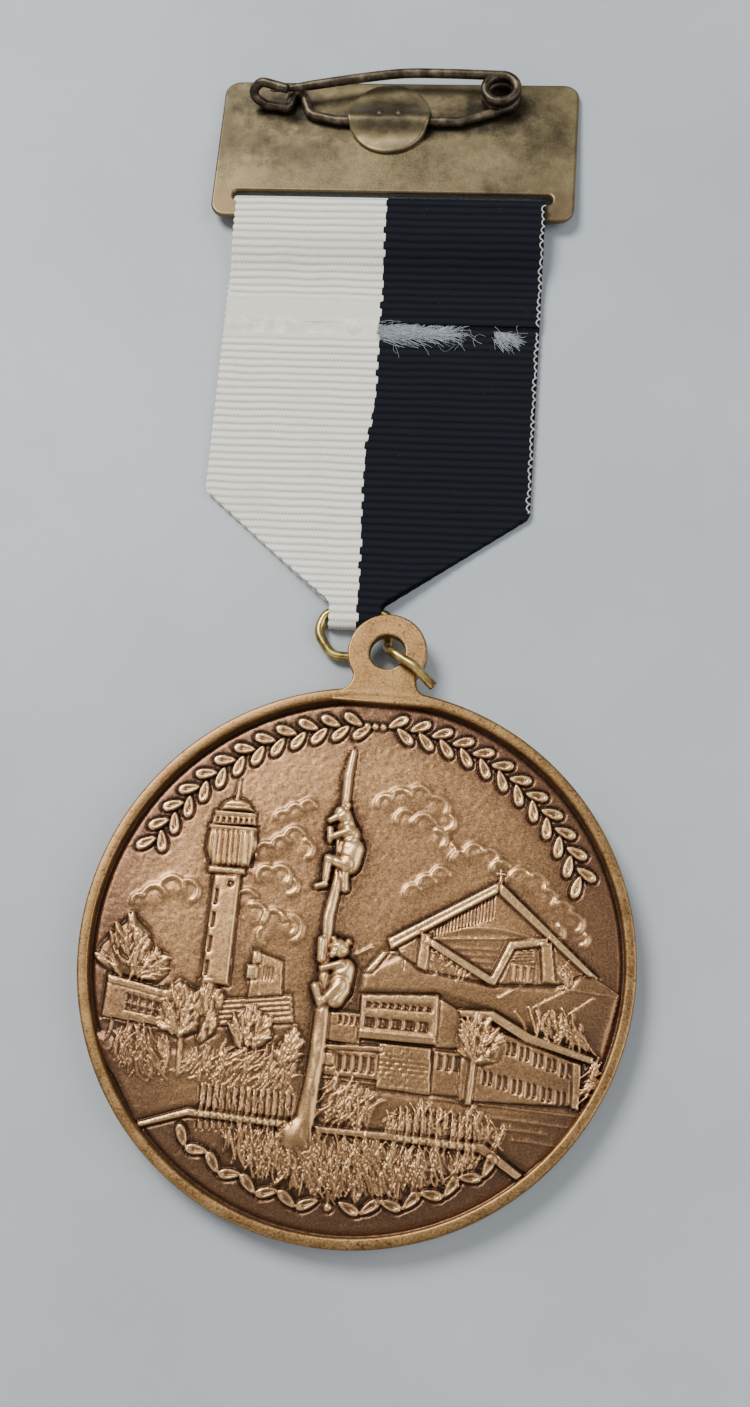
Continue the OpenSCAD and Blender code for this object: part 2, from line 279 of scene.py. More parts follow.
def lathe(profile, n):
    """Outline of (radius, height) points turned about z."""
    a = turns(n)
    p = np.asarray(profile, float)
    v = np.stack([p[:, 0, None] * np.cos(a), p[:, 0, None] * np.sin(a), p[:, 1, None] + 0 * a], -1)
    return v.reshape(-1, 3), grid_faces(len(p), n, True)


def round_rect(x0, y0, x1, y1, r, n=10):
    out = []
    for cx, cy, a in ((x1 - r, y1 - r, 0), (x0 + r, y1 - r, 90), (x0 + r, y0 + r, 180),
                  (x1 - r, y0 + r, 270)):
        for t in np.radians(np.linspace(a, a + 90, n)):
            out.append((cx + r * math.cos(t), cy + r * math.sin(t)))
    return out


def smooth01(t):
    t = np.clip(t, 0, 1)
    return t * t * (3 - 2 * t)


def value_noise(x, y, seed, scale):
    """Smooth random field, about -1 to 1."""
    r = np.random.default_rng(seed)
    g = r.uniform(-1, 1, (64, 64))
    u, v = x / scale + 500, y / scale + 500
    i, j = np.floor(u).astype(int), np.floor(v).astype(int)
    a, b = smooth01(u - i), smooth01(v - j)
    g00, g10 = g[i % 64, j % 64], g[(i + 1) % 64, j % 64]
    g01, g11 = g[i % 64, (j + 1) % 64], g[(i + 1) % 64, (j + 1) % 64]
    return (g00 * (1 - a) + g10 * a) * (1 - b) + (g01 * (1 - a) + g11 * a) * b


# ---------------------------------------------------------------- medal face
# H holds the relief's height over a square grid; the functions here raise or
# cut one shape each, with outlines and heights in millimetres.
STEP = 0.125
AX = np.arange(-29.0, 29.0 + STEP / 2, STEP)
X, Y = np.meshgrid(AX, AX, indexing="ij")
RAD = np.hypot(X, Y)
H = np.zeros_like(X)


def window(x0, y0, x1, y1):
    """The part of the grid that covers a box."""
    i0, i1 = np.searchsorted(AX, [x0, x1])
    j0, j1 = np.searchsorted(AX, [y0, y1])
    return slice(max(i0 - 1, 0), i1 + 1), slice(max(j0 - 1, 0), j1 + 1)


def sd_poly(x, y, poly):
    """Distance to an outline, negative inside it."""
    d = np.full(x.shape, 1e9)
    inside = np.zeros(x.shape, bool)
    n = len(poly)
    for k in range(n):
        ax, ay = poly[k]
        bx, by = poly[(k + 1) % n]
        ex, ey = bx - ax, by - ay
        t = np.clip(((x - ax) * ex + (y - ay) * ey) / (ex * ex + ey * ey + 1e-12), 0, 1)
        d = np.minimum(d, np.hypot(x - ax - t * ex, y - ay - t * ey))
        cross = (ay > y) != (by > y)
        xi = ax + (y - ay) / (by - ay + 1e-12) * ex
        inside ^= cross & (x < xi)
    return np.where(inside, -d, d)


def around(poly, pad=0.6):
    """The grid's part round an outline, and the distance to it there."""
    (x0, y0), (x1, y1) = np.min(poly, 0) - pad, np.max(poly, 0) + pad
    w = window(x0, y0, x1, y1)
    return w, sd_poly(X[w], Y[w], poly)


def along(w, x0, y0, x1, y1):
    """Place along a straight line, 0 to 1, and distance from it."""
    ex, ey = x1 - x0, y1 - y0
    t = np.clip(((X[w] - x0) * ex + (Y[w] - y0) * ey) / (ex * ex + ey * ey + 1e-12), 0, 1)
    return t, np.hypot(X[w] - x0 - t * ex, Y[w] - y0 - t * ey)


def hump(d, width):
    return np.exp(-((d / width) ** 2))


def rise(poly, h, bev=0.1, base=0.1, groove=0.1):
    """Raised flat shape with bevelled sides and a fine dark line round it."""
    w, d = around(poly)
    top = base + (h - base) * smooth01(-d / bev + 0.35)
    H[w] = np.where(d < 0.1, np.maximum(H[w], top), H[w])
    H[w] -= groove * hump(d - 0.12, 0.12)


def sink(poly, depth, bev=0.07):
    """Hollow with sloped sides."""
    w, d = around(poly)
    H[w] -= depth * smooth01(-d / bev + 0.3)


def line(x0, y0, x1, y1, width, h):
    """Raised or sunk straight line (negative h cuts)."""
    w = window(min(x0, x1) - width, min(y0, y1) - width, max(x0, x1) + width, max(y0, y1) + width)
    _, d = along(w, x0, y0, x1, y1)
    H[w] += h * np.exp(-((d / (width * 0.5)) ** 2) * 1.4)


def limb(x0, y0, x1, y1, r0, r1, h):
    """Rounded limb between two points."""
    r = max(r0, r1) + 0.3
    w = window(min(x0, x1) - r, min(y0, y1) - r, max(x0, x1) + r, max(y0, y1) + r)
    t, d = along(w, x0, y0, x1, y1)
    rr = r0 + (r1 - r0) * t
    q = np.clip(1 - (d / rr) ** 2, 0, 1)
    top = h * np.sqrt(q) * 0.75 + h * 0.25 * (q > 0)
    H[w] = np.where(q > 0, np.maximum(H[w], top), H[w])
    H[w] -= 0.08 * hump(d - rr - 0.1, 0.12)


def stamp(x0, y0, ang, length, width, h, bend, base):
    """One leaf or blade: a ridge that tapers to both ends."""
    r = length / 2 + 0.2
    w = window(x0 - r, y0 - r, x0 + r, y0 + r)
    if H[w].size == 0:
        return
    c, s = math.cos(ang), math.sin(ang)
    u = (X[w] - x0) * c + (Y[w] - y0) * s
    v = -(X[w] - x0) * s + (Y[w] - y0) * c
    v = v - bend * (u * u)
    t = u / (length / 2)
    wid = width / 2 * np.sqrt(np.clip(1 - np.abs(t) ** 1.7, 0, 1)) + 1e-6
    q = np.clip(1 - np.abs(v) / wid, 0, 1) * (np.abs(t) < 1)
    H[w] = np.where(q > 0, np.maximum(H[w], base + h * q), H[w])


def scatter(poly, n, r, margin):
    """Random places inside an outline, at least margin from its edge."""
    (x0, y0), (x1, y1) = np.min(poly, 0), np.max(poly, 0)
    while n:
        x, y = r.uniform(x0, x1), r.uniform(y0, y1)
        if sd_poly(np.array([[x]]), np.array([[y]]), poly)[0, 0] <= -margin:
            n -= 1
            yield x, y


def leafy(poly, n, seed, size, h, base, centre, spread=0.5):
    """Foliage: leaf bumps that point away from the crown's foot."""
    r = np.random.default_rng(seed)
    w, d = around(poly, 0.3)
    H[w] = np.where(d < 0, np.maximum(H[w], base * smooth01(-d / 0.5 + 0.2)), H[w])
    H[w] -= 0.05 * hump(d - 0.15, 0.15)
    for x, y in scatter(poly, int(n * 0.6), r, 0.25):
        a = math.atan2(y - centre[1], x - centre[0]) + r.normal(0, spread * 0.6)
        k = size * 1.5 * r.uniform(0.7, 1.35)
        width, high = k * r.uniform(0.34, 0.52), h * r.uniform(0.5, 1.15)
        stamp(x, y, a, k, width, high, r.uniform(-0.3, 0.3), base * 0.8)


def grassy(poly, n, seed, length, h, base, ang, wob):
    """Grass: blades that lean about ang degrees, wob degrees either way."""
    r = np.random.default_rng(seed)
    w, d = around(poly, 0.3)
    H[w] = np.where(d < 0, np.maximum(H[w], base * smooth01(-d / 0.6)), H[w])
    for x, y in scatter(poly, int(n * 0.5), r, 0.15):
        lean = math.radians(ang + r.normal(0, wob * 0.6) + 14 * math.sin(x * 0.9 + y * 0.4))
        k = length * 2.1 * r.uniform(0.6, 1.3)
        width, high = k * r.uniform(0.11, 0.17), 0.95 * h * r.uniform(0.4, 1.2)
        stamp(x, y, lean, k, width, high, r.uniform(-0.35, 0.35), base)


def puff(x0, y0, r0, a0, a1):
    """One curl of a cloud: a soft mound with a raised arc on its lit side."""
    w = window(x0 - r0 * 1.5, y0 - r0 * 1.5, x0 + r0 * 1.5, y0 + r0 * 1.5)
    dx, dy = X[w] - x0, Y[w] - y0
    d = np.hypot(dx, dy)
    a = np.degrees(np.arctan2(dy, dx))
    mid, half = (a0 + a1) / 2, abs(a1 - a0) / 2
    off = np.abs((a - mid + 180) % 360 - 180)
    k = smooth01((half + 25 - off) / 35)
    H[w] += 0.15 * k * hump(d - r0, 0.16 + 0.1 * r0) + 0.0825 * hump(d, r0 * 0.8)


def box(x0, y0, x1, y1):
    return [(x0, y0), (x1, y0), (x1, y1), (x0, y1)]


def leaf(a, r, tip, k):
    """One garland leaf at angle a and radius r, turned by tip from the border."""
    ta = a + math.pi / 2 * k + tip
    c, s = math.cos(ta), math.sin(ta)

    def shape(pairs):
        return [(r * math.cos(a) + u * c - v * s, r * math.sin(a) + u * s + v * c) for u, v in pairs]

    blade = [(1.28 * math.cos(t), 0.56 * math.sin(t) * (1 - 0.32 * math.cos(t))) for t in turns(18)]
    rise(shape(blade), 0.42, 0.14, 0.1, 0.16)
    vein = (-0.8, 0.0), (-0.3, 0.26), (0.6, 0.12), (0.9, 0), (0.6, -0.12), (-0.3, -0.26)
    sink(shape(vein), 0.2, 0.12)


def panes(n, x0, pitch, width, y0, y1, depth, bev=0.07, step=0.0):
    """A row of n window hollows; each stands step higher than the one before it."""
    for k in range(n):
        x, dy = x0 + k * pitch, k * step
        sink(box(x, y0 + dy, x + width, y1 + dy), depth, bev)


def fence(n, x0, pitch, top, foot, slope):
    """n posts, each a cut line with a raised line beside it."""
    for i in range(n):
        x, y = x0 + i * pitch, foot + i * slope
        line(x, top, x + 0.12, y, 0.22, -0.2)
        line(x + 0.22, top + 0.1, x + 0.34, y + 0.1, 0.22, 0.16)


def dish():
    """A shallow dish, lowest by the border, with a cut line under the rim."""
    H[:] = 0.06 * (1 - smooth01((RAD - 20) / 8))
    H[:] -= 0.18 * hump(RAD - 28.55, 0.3)


def far_ground():
    """Low swells behind the hall and the kerb."""
    rise([(-28, -10.5), (-19, -11.5), (-3, -12.6), (-2.6, -18), (-15, -17.4), (-21, -19.4), (-24, -15)],
         0.16, 1.2, 0, 0)
    rise([(-2, -12.8), (4, -13.6), (14, -14.2), (25.4, -13.6), (23.4, -16.8), (20, -20.2), (15.6, -18),
          (-2, -18)], 0.14, 1.0, 0, 0)
    rise([(1.2, -1.6), (5.2, 0.8), (7.4, -0.7), (15, -1.6), (21.8, -1.2), (24.8, 0.9), (28.4, -1.4), (27, -8),
          (20, -6), (15, -4.2), (9.4, -3), (1.2, -3.6)], 0.16, 0.8, 0, 0)


def clouds():
    """Each curl: x, y, radius, and the angles its lit side runs between."""
    for c in [(-22.6, 4.4, 1.3, 20, 170), (-20.8, 5.6, 1.3, 0, 160), (-19.0, 5.4, 1.2, -60, 110),
              (-24.2, 3.8, 0.8, 60, 200), (-11.0, 10.4, 1.1, 60, 210), (-9.4, 11.4, 1.0, 30, 180),
              (-8.0, 12.4, 1.1, 20, 170), (-6.8, 11.2, 1.0, -60, 90), (-10.6, 7.9, 1.0, 40, 220),
              (-9.0, 8.0, 1.1, -40, 130), (-7.9, 7.0, 0.9, -90, 60), (-9.6, 14.4, 0.8, 60, 190),
              (-8.2, 15.2, 0.9, 30, 170), (-6.9, 15.9, 0.8, 10, 150), (-12.4, 5.0, 1.1, 30, 200),
              (-11.2, 3.6, 1.1, -60, 120), (-9.2, 3.0, 1.2, 20, 190), (-7.4, 2.4, 1.5, -60, 130),
              (-7.5, 2.5, 0.9, -60, 130), (-9.8, 1.4, 0.9, 120, 260), (1.6, 17.0, 1.0, 60, 200),
              (3.2, 17.6, 1.2, 30, 180), (5.2, 18.0, 1.3, 20, 160), (7.2, 17.0, 1.3, -20, 110),
              (8.4, 15.6, 0.9, -80, 60), (4.0, 15.4, 1.1, 60, 200), (6.0, 15.0, 1.2, 20, 170),
              (7.6, 13.6, 1.0, -50, 100), (9.0, 12.4, 0.8, -80, 70), (5.6, 7.4, 0.9, 40, 200),
              (7.0, 8.6, 0.9, 20, 180), (8.4, 9.6, 0.9, 10, 170), (10.2, 11.6, 0.9, 30, 190),
              (11.8, 12.4, 1.0, 20, 170), (13.4, 11.9, 1.1, -10, 140), (14.8, 10.8, 1.0, 30, 180),
              (17.0, 10.0, 1.1, 30, 170), (18.6, 9.6, 1.2, -20, 130), (20.0, 8.2, 1.0, -50, 100),
              (21.6, 6.9, 1.1, 0, 130), (23.0, 5.8, 1.0, -60, 90), (21.0, 4.6, 1.0, -60, 60),
              (24.0, 4.2, 0.7, -90, 60)]:
        puff(*c)


def tower():
    """Tall tower with a round cabin and a mast."""
    rise([(-16.3, 7.6), (-13.3, 7.8), (-13.1, -4.4), (-16.1, -4.4)], 0.5, 0.5)
    for y0, y1 in ((4.2, 6.0), (1.7, 3.4), (-1.0, 0.8), (-3.6, -1.8)):
        sink(box(-15.95, y0, -15.5, y1), 0.35, 0.08)
    w = window(-14.9, 6.0, -13.8, 7.2)
    H[w] -= 0.3 * hump(np.hypot(X[w] + 14.3, Y[w] - 6.6) - 0.22, 0.14)
    rise([(-16.7, 8.4), (-17.5, 10.2), (-17.5, 11.6), (-17.3, 12.7), (-12.3, 12.9), (-12.0, 11.4),
          (-12.2, 10.2), (-12.7, 8.6)], 0.62, 0.7, 0.15)
    for i in range(9):
        x = -17.0 + i * 0.58
        line(x + 0.12, 8.7, x, 12.4, 0.22, -0.22)
    for x in (-16.2, -14.9, -13.4):
        line(x + 0.1, 8.6, x, 12.5, 0.3, 0.2)
    rise(box(-17.5, 12.6, -12.2, 13.0), 0.68, 0.14, 0.2, 0.08)
    rise([(-17.3, 13.1), (-12.4, 13.3), (-12.5, 14.4), (-17.0, 14.3)], 0.5, 0.2, 0.1, 0.05)
    panes(7, -16.9, 0.64, 0.4, 13.35, 13.95, 0.3)
    rise(box(-17.1, 14.2, -12.5, 14.6), 0.66, 0.14, 0.2, 0.06)
    rise([(-16.6, 14.7), (-12.9, 14.9), (-13.4, 15.7), (-14.3, 16.1), (-15.4, 16.1), (-16.2, 15.6)], 0.5,
         0.5, 0.1, 0.08)
    line(-16.2, 15.2, -13.2, 15.3, 0.2, -0.14)
    rise([(-15.1, 16.0), (-14.6, 16.0), (-14.65, 18.3), (-14.85, 18.3)], 0.34, 0.1, 0, 0.06)
    rise(box(-17.0, 7.7, -12.9, 8.4), 0.6, 0.2)


def left_houses():
    """Low blocks beside the tower and a house at the border."""
    rise([(-13.9, -6.0), (-6.2, -4.7), (-5.7, -7.6), (-13.6, -8.7)], 0.2, 0.1, 0.02)
    for k in range(4):
        line(-13.6, -6.5 - k * 0.55, -6.1, -5.3 - k * 0.55, 0.2, -0.12)
    rise([(-10.9, -0.3), (-7.6, -1.2), (-7.3, -4.8), (-10.9, -5.4)], 0.24, 0.1, 0.02, 0.12)
    rise(box(-11.3, -3.4, -10.2, -1.9), 0.42)
    rise(box(-10.9, -1.7, -10.1, -0.4), 0.36, 0.1, 0.1, 0.06)
    for k in range(4):
        line(-9.5 + k * 0.33, -3.4, -9.5 + k * 0.33, -2.0, 0.18, -0.14)
    line(-9.9, -0.7, -9.9, -5.0, 0.16, -0.1)
    rise([(-26.3, -4.5), (-19.2, -5.7), (-19.2, -9.4), (-26.4, -8.9)], 0.3, 0.12, 0.02, 0.13)
    rise([(-26.4, -4.4), (-19.2, -5.6), (-19.2, -6.3), (-26.2, -5.2)], 0.44, 0.1, 0.1, 0.04)
    sink([(-24.0, -6.2), (-19.6, -6.9), (-19.6, -8.5), (-24.0, -8.0)], 0.22, 0.1)
    for k in range(5):
        line(-23.4 + k * 0.8, -6.4 - k * 0.12, -23.4 + k * 0.8, -7.9 - k * 0.12, 0.16, 0.18)
    line(-24, -7.2, -19.7, -7.8, 0.16, 0.16)
    line(-26.2, -9.1, -19.8, -9.7, 0.2, 0.16)


def hall():
    """Hall with a steep two-sided roof."""
    rise([(14.8, 9.0), (4.2, 1.7), (5.0, 0.8), (7.6, -0.6), (15, -1.4), (21.8, -0.9), (24.6, 0.6)], 0.2, 0.1,
         0.02)
    sink([(8.3, 3.9), (14.4, 8.2), (14.6, 5.5), (8.4, 2.9)], 0.04, 0.1)
    for i in range(18):
        x = 8.5 + i * 0.345
        line(x, 3.0 + i * 0.15, x, 3.9 + i * 0.24, 0.2, -0.2)
        line(x + 0.17, 3.0 + i * 0.15, x + 0.17, 3.9 + i * 0.24, 0.14, 0.1)
    rise([(14.85, 9.55), (3.4, 2.2), (3.9, 1.1), (14.8, 8.3)], 0.52, 0.16, 0.12, 0.13)
    line(14.6, 8.75, 4.0, 1.75, 0.22, -0.1)
    rise([(14.9, 9.5), (26.0, 0.2), (24.9, 0.3), (14.9, 8.2)], 0.46, 0.16, 0.12, 0.12)
    line(15.2, 8.7, 25.2, 0.5, 0.16, -0.08)
    w = window(8, 0, 20, 5)
    arch = hump(Y[w] - 4.4 + 0.035 * (X[w] - 14.5) ** 2, 0.22)
    H[w] += 0.12 * arch * (X[w] > 8.5) * (X[w] < 19.6)
    line(8.2, 2.7, 20.6, 3.9, 0.2, 0.12)
    for k in range(4):
        line(9.6 + k, 1.9 - k * 0.6, 15.6 - k * 0.25, 2.2 - k * 0.7, 0.14, 0.06)
    rise([(7.8, 2.9), (14.8, -0.7), (16.4, 3.2), (20.4, 3.9), (20.6, 3.2), (17.0, 2.4), (15.3, -1.6),
          (14.6, -1.5), (7.4, 2.2)], 0.5, 0.14, 0.15, 0.12)
    rise([(6.9, 3.2), (8.0, 3.2), (7.9, -0.8), (6.8, -0.4)], 0.4, 0.12)
    rise([(19.7, 3.3), (20.9, 3.5), (21.6, -0.8), (20.2, -0.7)], 0.4, 0.12)
    grassy([(8.3, 1.8), (14.4, -1.1), (8.2, -0.7)], 40, 3, 0.9, 0.2, 0.14, 90, 30)
    for k in range(5):
        line(16.8, 2.4 - k * 0.33, 19.0, 2.7 - k * 0.33, 0.14, -0.1)
    rise(box(16.9, -1.0, 19.2, 0.9), 0.3, 0.08, 0.1, 0.06)
    panes(3, 17.2, 0.75, 0.45, -0.9, 0.7, 0.16)
    grassy([(21.7, -0.9), (21.8, 2.4), (23.6, 0.6), (23.4, -1.2)], 26, 4, 0.8, 0.25, 0.14, 75, 30)
    rise([(1.3, -1.5), (3.1, 0.9), (3.6, 0.8), (2.1, -1.5)], 0.38, 0.1, 0.1, 0.08)
    line(0.3, 0.3, 1.9, 1.3, 0.3, 0.14)
    line(3.2, 0.8, 5.4, 1.0, 0.14, 0.1)
    line(5.3, 1.0, 5.4, -0.9, 0.14, -0.12)
    for a in ((24.8, 0.6, 28.3, -1.4), (15.8, -2.9, 18.6, -1.0), (19.4, -3.6, 23.0, -1.4),
              (22.6, -4.4, 25.8, -1.9), (23.4, -1.4, 24.3, 0.4), (21.9, -1.2, 28.2, -1.6)):
        line(*a, 0.16, 0.12)
    rise([(14.72, 9.4), (15.05, 9.4), (15.0, 10.9), (14.8, 10.9)], 0.5, 0.1, 0, 0.07)
    rise([(14.4, 10.2), (15.4, 10.3), (15.4, 10.5), (14.4, 10.45)], 0.5, 0.1, 0, 0.04)


def flat_roofs():
    """Flat-roofed buildings in front of the hall."""
    rise([(9.2, -3.3), (12.0, -4.7), (12.1, -8.5), (9.4, -8.6)], 0.26, 0.1, 0.05)
    rise([(-2.0, -6.0), (1.6, -5.9), (1.6, -9.2), (-2.2, -9.0)], 0.3, 0.1, 0.05)
    panes(4, -0.9, 0.6, 0.35, -7.2, -6.3, 0.2, 0.06)
    rise([(1.3, -3.9), (9.5, -3.2), (9.6, -8.4), (1.4, -8.5)], 0.4, 0.1, 0.05, 0.14)
    sink([(1.8, -4.6), (9.1, -4.2), (9.1, -5.1), (1.8, -5.3)], 0.12, 0.08)
    panes(9, 1.95, 0.79, 0.5, -5.1, -4.55, 0.2)
    sink([(1.8, -6.2), (9.1, -6.0), (9.1, -7.4), (1.8, -7.3)], 0.1, 0.08)
    panes(5, 1.95, 1.42, 1.05, -7.2, -6.2, 0.2)
    for k in range(5):
        line(2.45 + k * 1.42, -7.1, 2.45 + k * 1.42, -6.3, 0.1, 0.1)
    line(1.4, -7.8, 9.5, -7.75, 0.2, 0.1)
    rise([(3.7, -8.8), (9.2, -8.8), (9.5, -13.6), (3.8, -13.4)], 0.3, 0.1, 0.05)
    for r in range(9):
        y = -9.2 - r * 0.48
        line(4.0, y, 9.1, y, 0.1, -0.05)
        for c in range(6):
            x = 4.2 + c * 0.9 + (r % 2) * 0.4
            if (r * 7 + c * 5) % 4:
                line(x, y, x, y - 0.4, 0.1, -0.07)
    rise([(-2.4, -9.5), (4.1, -9.1), (4.1, -9.7), (-2.4, -10.0)], 0.42, 0.1, 0.1, 0.08)
    rise([(-2.2, -10.0), (3.7, -9.8), (3.8, -12.6), (-2.0, -12.6)], 0.24, 0.1, 0.05, 0.08)
    rise(box(-2.0, -11.6, -0.9, -10.3), 0.4, 0.1, 0.1, 0.08)
    panes(5, -0.6, 0.86, 0.55, -12.1, -10.3, 0.18)
    line(-2, -12.9, 3.7, -13.0, 0.2, 0.14)
    rise([(9.5, -9.0), (12.4, -9.0), (12.6, -13.4), (9.6, -13.4)], 0.24, 0.1, 0.05, 0.06)
    panes(3, 9.9, 0.9, 0.6, -10.9, -9.3, 0.2)
    rise([(12.4, -9.6), (14.2, -7.0), (17, -6.6), (24.6, -8.9), (24.9, -13.2), (12.5, -13.8)], 0.28, 0.1,
         0.05, 0.08)
    for x in (17.0, 17.6):
        panes(5, x, 1.45, 0.42, -8.7, -7.3, 0.22, step=-0.42)
    for x in (14.8, 15.42):
        panes(6, x, 1.55, 0.42, -12.0, -10.5, 0.22, step=-0.27)
    rise([(24.0, -8.7), (24.9, -8.9), (25.0, -13.6), (24.2, -13.4)], 0.42)
    rise([(11.6, -4.5), (15.4, -4.3), (19.4, -6.3), (26.2, -8.1), (26.0, -8.8), (19.0, -7.2), (15.0, -5.2),
          (12, -5.2)], 0.5, 0.14, 0.12, 0.12)
    for a in ((9.8, -13.9, 25.0, -14.2), (15.8, -15.2, 24.0, -15.4), (18.4, -17.2, 23.0, -17.4),
              (16.0, -16.2, 21.8, -16.3)):
        line(*a, 0.2, 0.1)


def greenery():
    """Trees, bushes and tufts round the buildings."""
    leafy([(-24.6, 2.4), (-22.4, 0.6), (-22.0, -1.2), (-20.0, -1.8), (-19.9, -3.8), (-20.8, -4.8),
           (-25.8, -4.2), (-27.6, -3.4), (-27.7, -1.4), (-26.4, 0.2)], 150, 21, 1.0, 0.36, 0.24,
           (-23.6, -4.6))
    leafy([(-16.4, -4.0), (-14.8, -3.9), (-13.3, -5.6), (-14.0, -9.6), (-15.6, -11.0), (-16.2, -7.0)], 60,
          22, 1.1, 0.36, 0.2, (-15.4, -12.0), 0.3)
    leafy([(-18.5, -4.2), (-16.4, -5.2), (-15.6, -7.6), (-15.9, -9.6), (-17.6, -10.5), (-19.6, -9.8),
           (-20.5, -8.0), (-19.9, -5.8)], 120, 23, 1.0, 0.38, 0.28, (-17.7, -10.6))
    line(-17.6, -10.2, -17.3, -14.0, 0.5, 0.26)
    leafy([(-10.4, -6.1), (-8.4, -7.2), (-7.6, -9.0), (-8.6, -10.3), (-10.2, -10.8), (-12.0, -10.2),
           (-12.6, -8.8), (-11.8, -7.2)], 110, 24, 0.9, 0.38, 0.26, (-10.3, -11.2))
    line(-10.3, -10.4, -10.2, -13.2, 0.42, 0.26)
    leafy([(-5.2, -7.8), (-4.4, -9.6), (-4.4, -11.6), (-7.4, -12.2), (-6.8, -9.8)], 70, 25, 1.1, 0.34, 0.2,
          (-6.6, -12.6), 0.25)
    grassy([(-25.6, -9.9), (-20.0, -10.2), (-18.2, -11.6), (-18.6, -14.4), (-23.4, -14.2)], 150, 26, 1.3,
           0.22, 0.16, 96, 20)
    grassy([(-17.0, -12.0), (-11, -11.0), (-4.4, -11.8), (-4.4, -14.0), (-12, -14.4), (-17, -13.8)], 190, 27,
           1.2, 0.22, 0.16, 60, 26)
    leafy([(14.0, -4.9), (15.8, -5.8), (16.8, -7.4), (16.3, -9.4), (14.6, -10.0), (13.9, -9.4), (12.2, -9.2),
           (11.7, -7.6), (12.3, -5.8)], 130, 28, 0.9, 0.4, 0.34, (14.0, -9.6))
    rise([(13.4, -9.2), (14.1, -9.2), (13.9, -14.2), (13.2, -14.2)], 0.5, 0.2, 0.1, 0.08)
    grassy([(17.8, -5.0), (19.4, -4.1), (22.4, -3.8), (24.6, -5.2), (26.2, -7.4), (23.0, -6.8),
            (20.4, -6.0)], 90, 29, 1.3, 0.34, 0.2, 110, 22)
    grassy([(25.2, -9.2), (26.4, -8.6), (27.1, -9.4), (26.2, -11.6), (25.2, -13.4)], 50, 30, 1.2, 0.34, 0.2,
           50, 18)
    grassy([(-2.0, -13.4), (2.4, -13.2), (4.4, -15.2), (2.6, -17.6), (-2.0, -17.4)], 110, 31, 1.3, 0.3, 0.18,
           60, 24)
    grassy([(5.4, -15.6), (14.6, -15.2), (17.8, -17.4), (16.6, -18.6), (14.8, -18.0), (5.0, -17.9)], 190, 32,
           1.3, 0.28, 0.18, 80, 24)
    grassy([(-14.6, -14.9), (-4.4, -14.5), (-4.4, -17.8), (-14.8, -17.6)], 190, 33, 1.1, 0.2, 0.14, 88, 16)


def fences():
    """Kerb with a fence on both sides of the trunk."""
    rise([(-20.9, -19.5), (-15.6, -17.5), (-4.4, -17.7), (-4.4, -18.5), (-15.6, -18.3), (-20.6, -20.0)],
         0.46, 0.16, 0.12, 0.12)
    rise([(-2.0, -17.9), (5.0, -17.8), (15.6, -17.9), (19.8, -20.6), (19.2, -21.2), (15.2, -18.9),
          (4.6, -18.6), (-2.0, -18.6)], 0.46, 0.16, 0.12, 0.12)
    fence(15, -14.7, 0.7, -15.1, -19.5, 0.06)
    fence(11, 6.4, 0.78, -15.3, -19.2, -0.06)
    # grass along the bottom
    grassy([(-12.6, -19.2), (-4.0, -19.0), (15.0, -19.2), (15.6, -19.9), (12.6, -21.4), (7.0, -23.4),
            (0.6, -24.3), (-6.0, -23.4), (-10.6, -21.2)], 900, 34, 1.5, 0.36, 0.16, 92, 20)


def trunk():
    """Tall bare trunk: x, y and radius along it."""
    pts = [(-4.0, -19.2, 1.7), (-3.2, -17.6, 1.05), (-2.9, -14.0, 0.9), (-2.7, -10.0, 0.85),
           (-2.7, -5.6, 0.8), (-3.0, 0.0, 0.62), (-3.2, 4.0, 0.62), (-2.6, 8.4, 0.6), (-2.9, 13.0, 0.55),
           (-2.8, 17.2, 0.5), (-2.85, 20.0, 0.56), (-2.5, 22.6, 0.36)]
    w = window(-7.0, -20.4, 0.4, 23.4)
    best = np.full(X[w].shape, -1.0)
    for (ax, ay, ar), (bx, by, br) in zip(pts[:-1], pts[1:]):
        t, d = along(w, ax, ay, bx, by)
        best = np.maximum(best, 1 - (d / (ar + (br - ar) * t)) ** 2)
    bark = 0.06 * value_noise(X[w], Y[w] * 0.28, 5, 0.45)
    bark += 0.05 * value_noise(X[w], Y[w] * 0.5, 6, 0.9)
    top = 0.16 + (0.46 + bark) * np.sqrt(np.clip(best, 0, 1))
    H[w] = np.where(best > 0, np.maximum(H[w], top), H[w])
    H[w] -= 0.12 * hump(best + 0.22, 0.22)


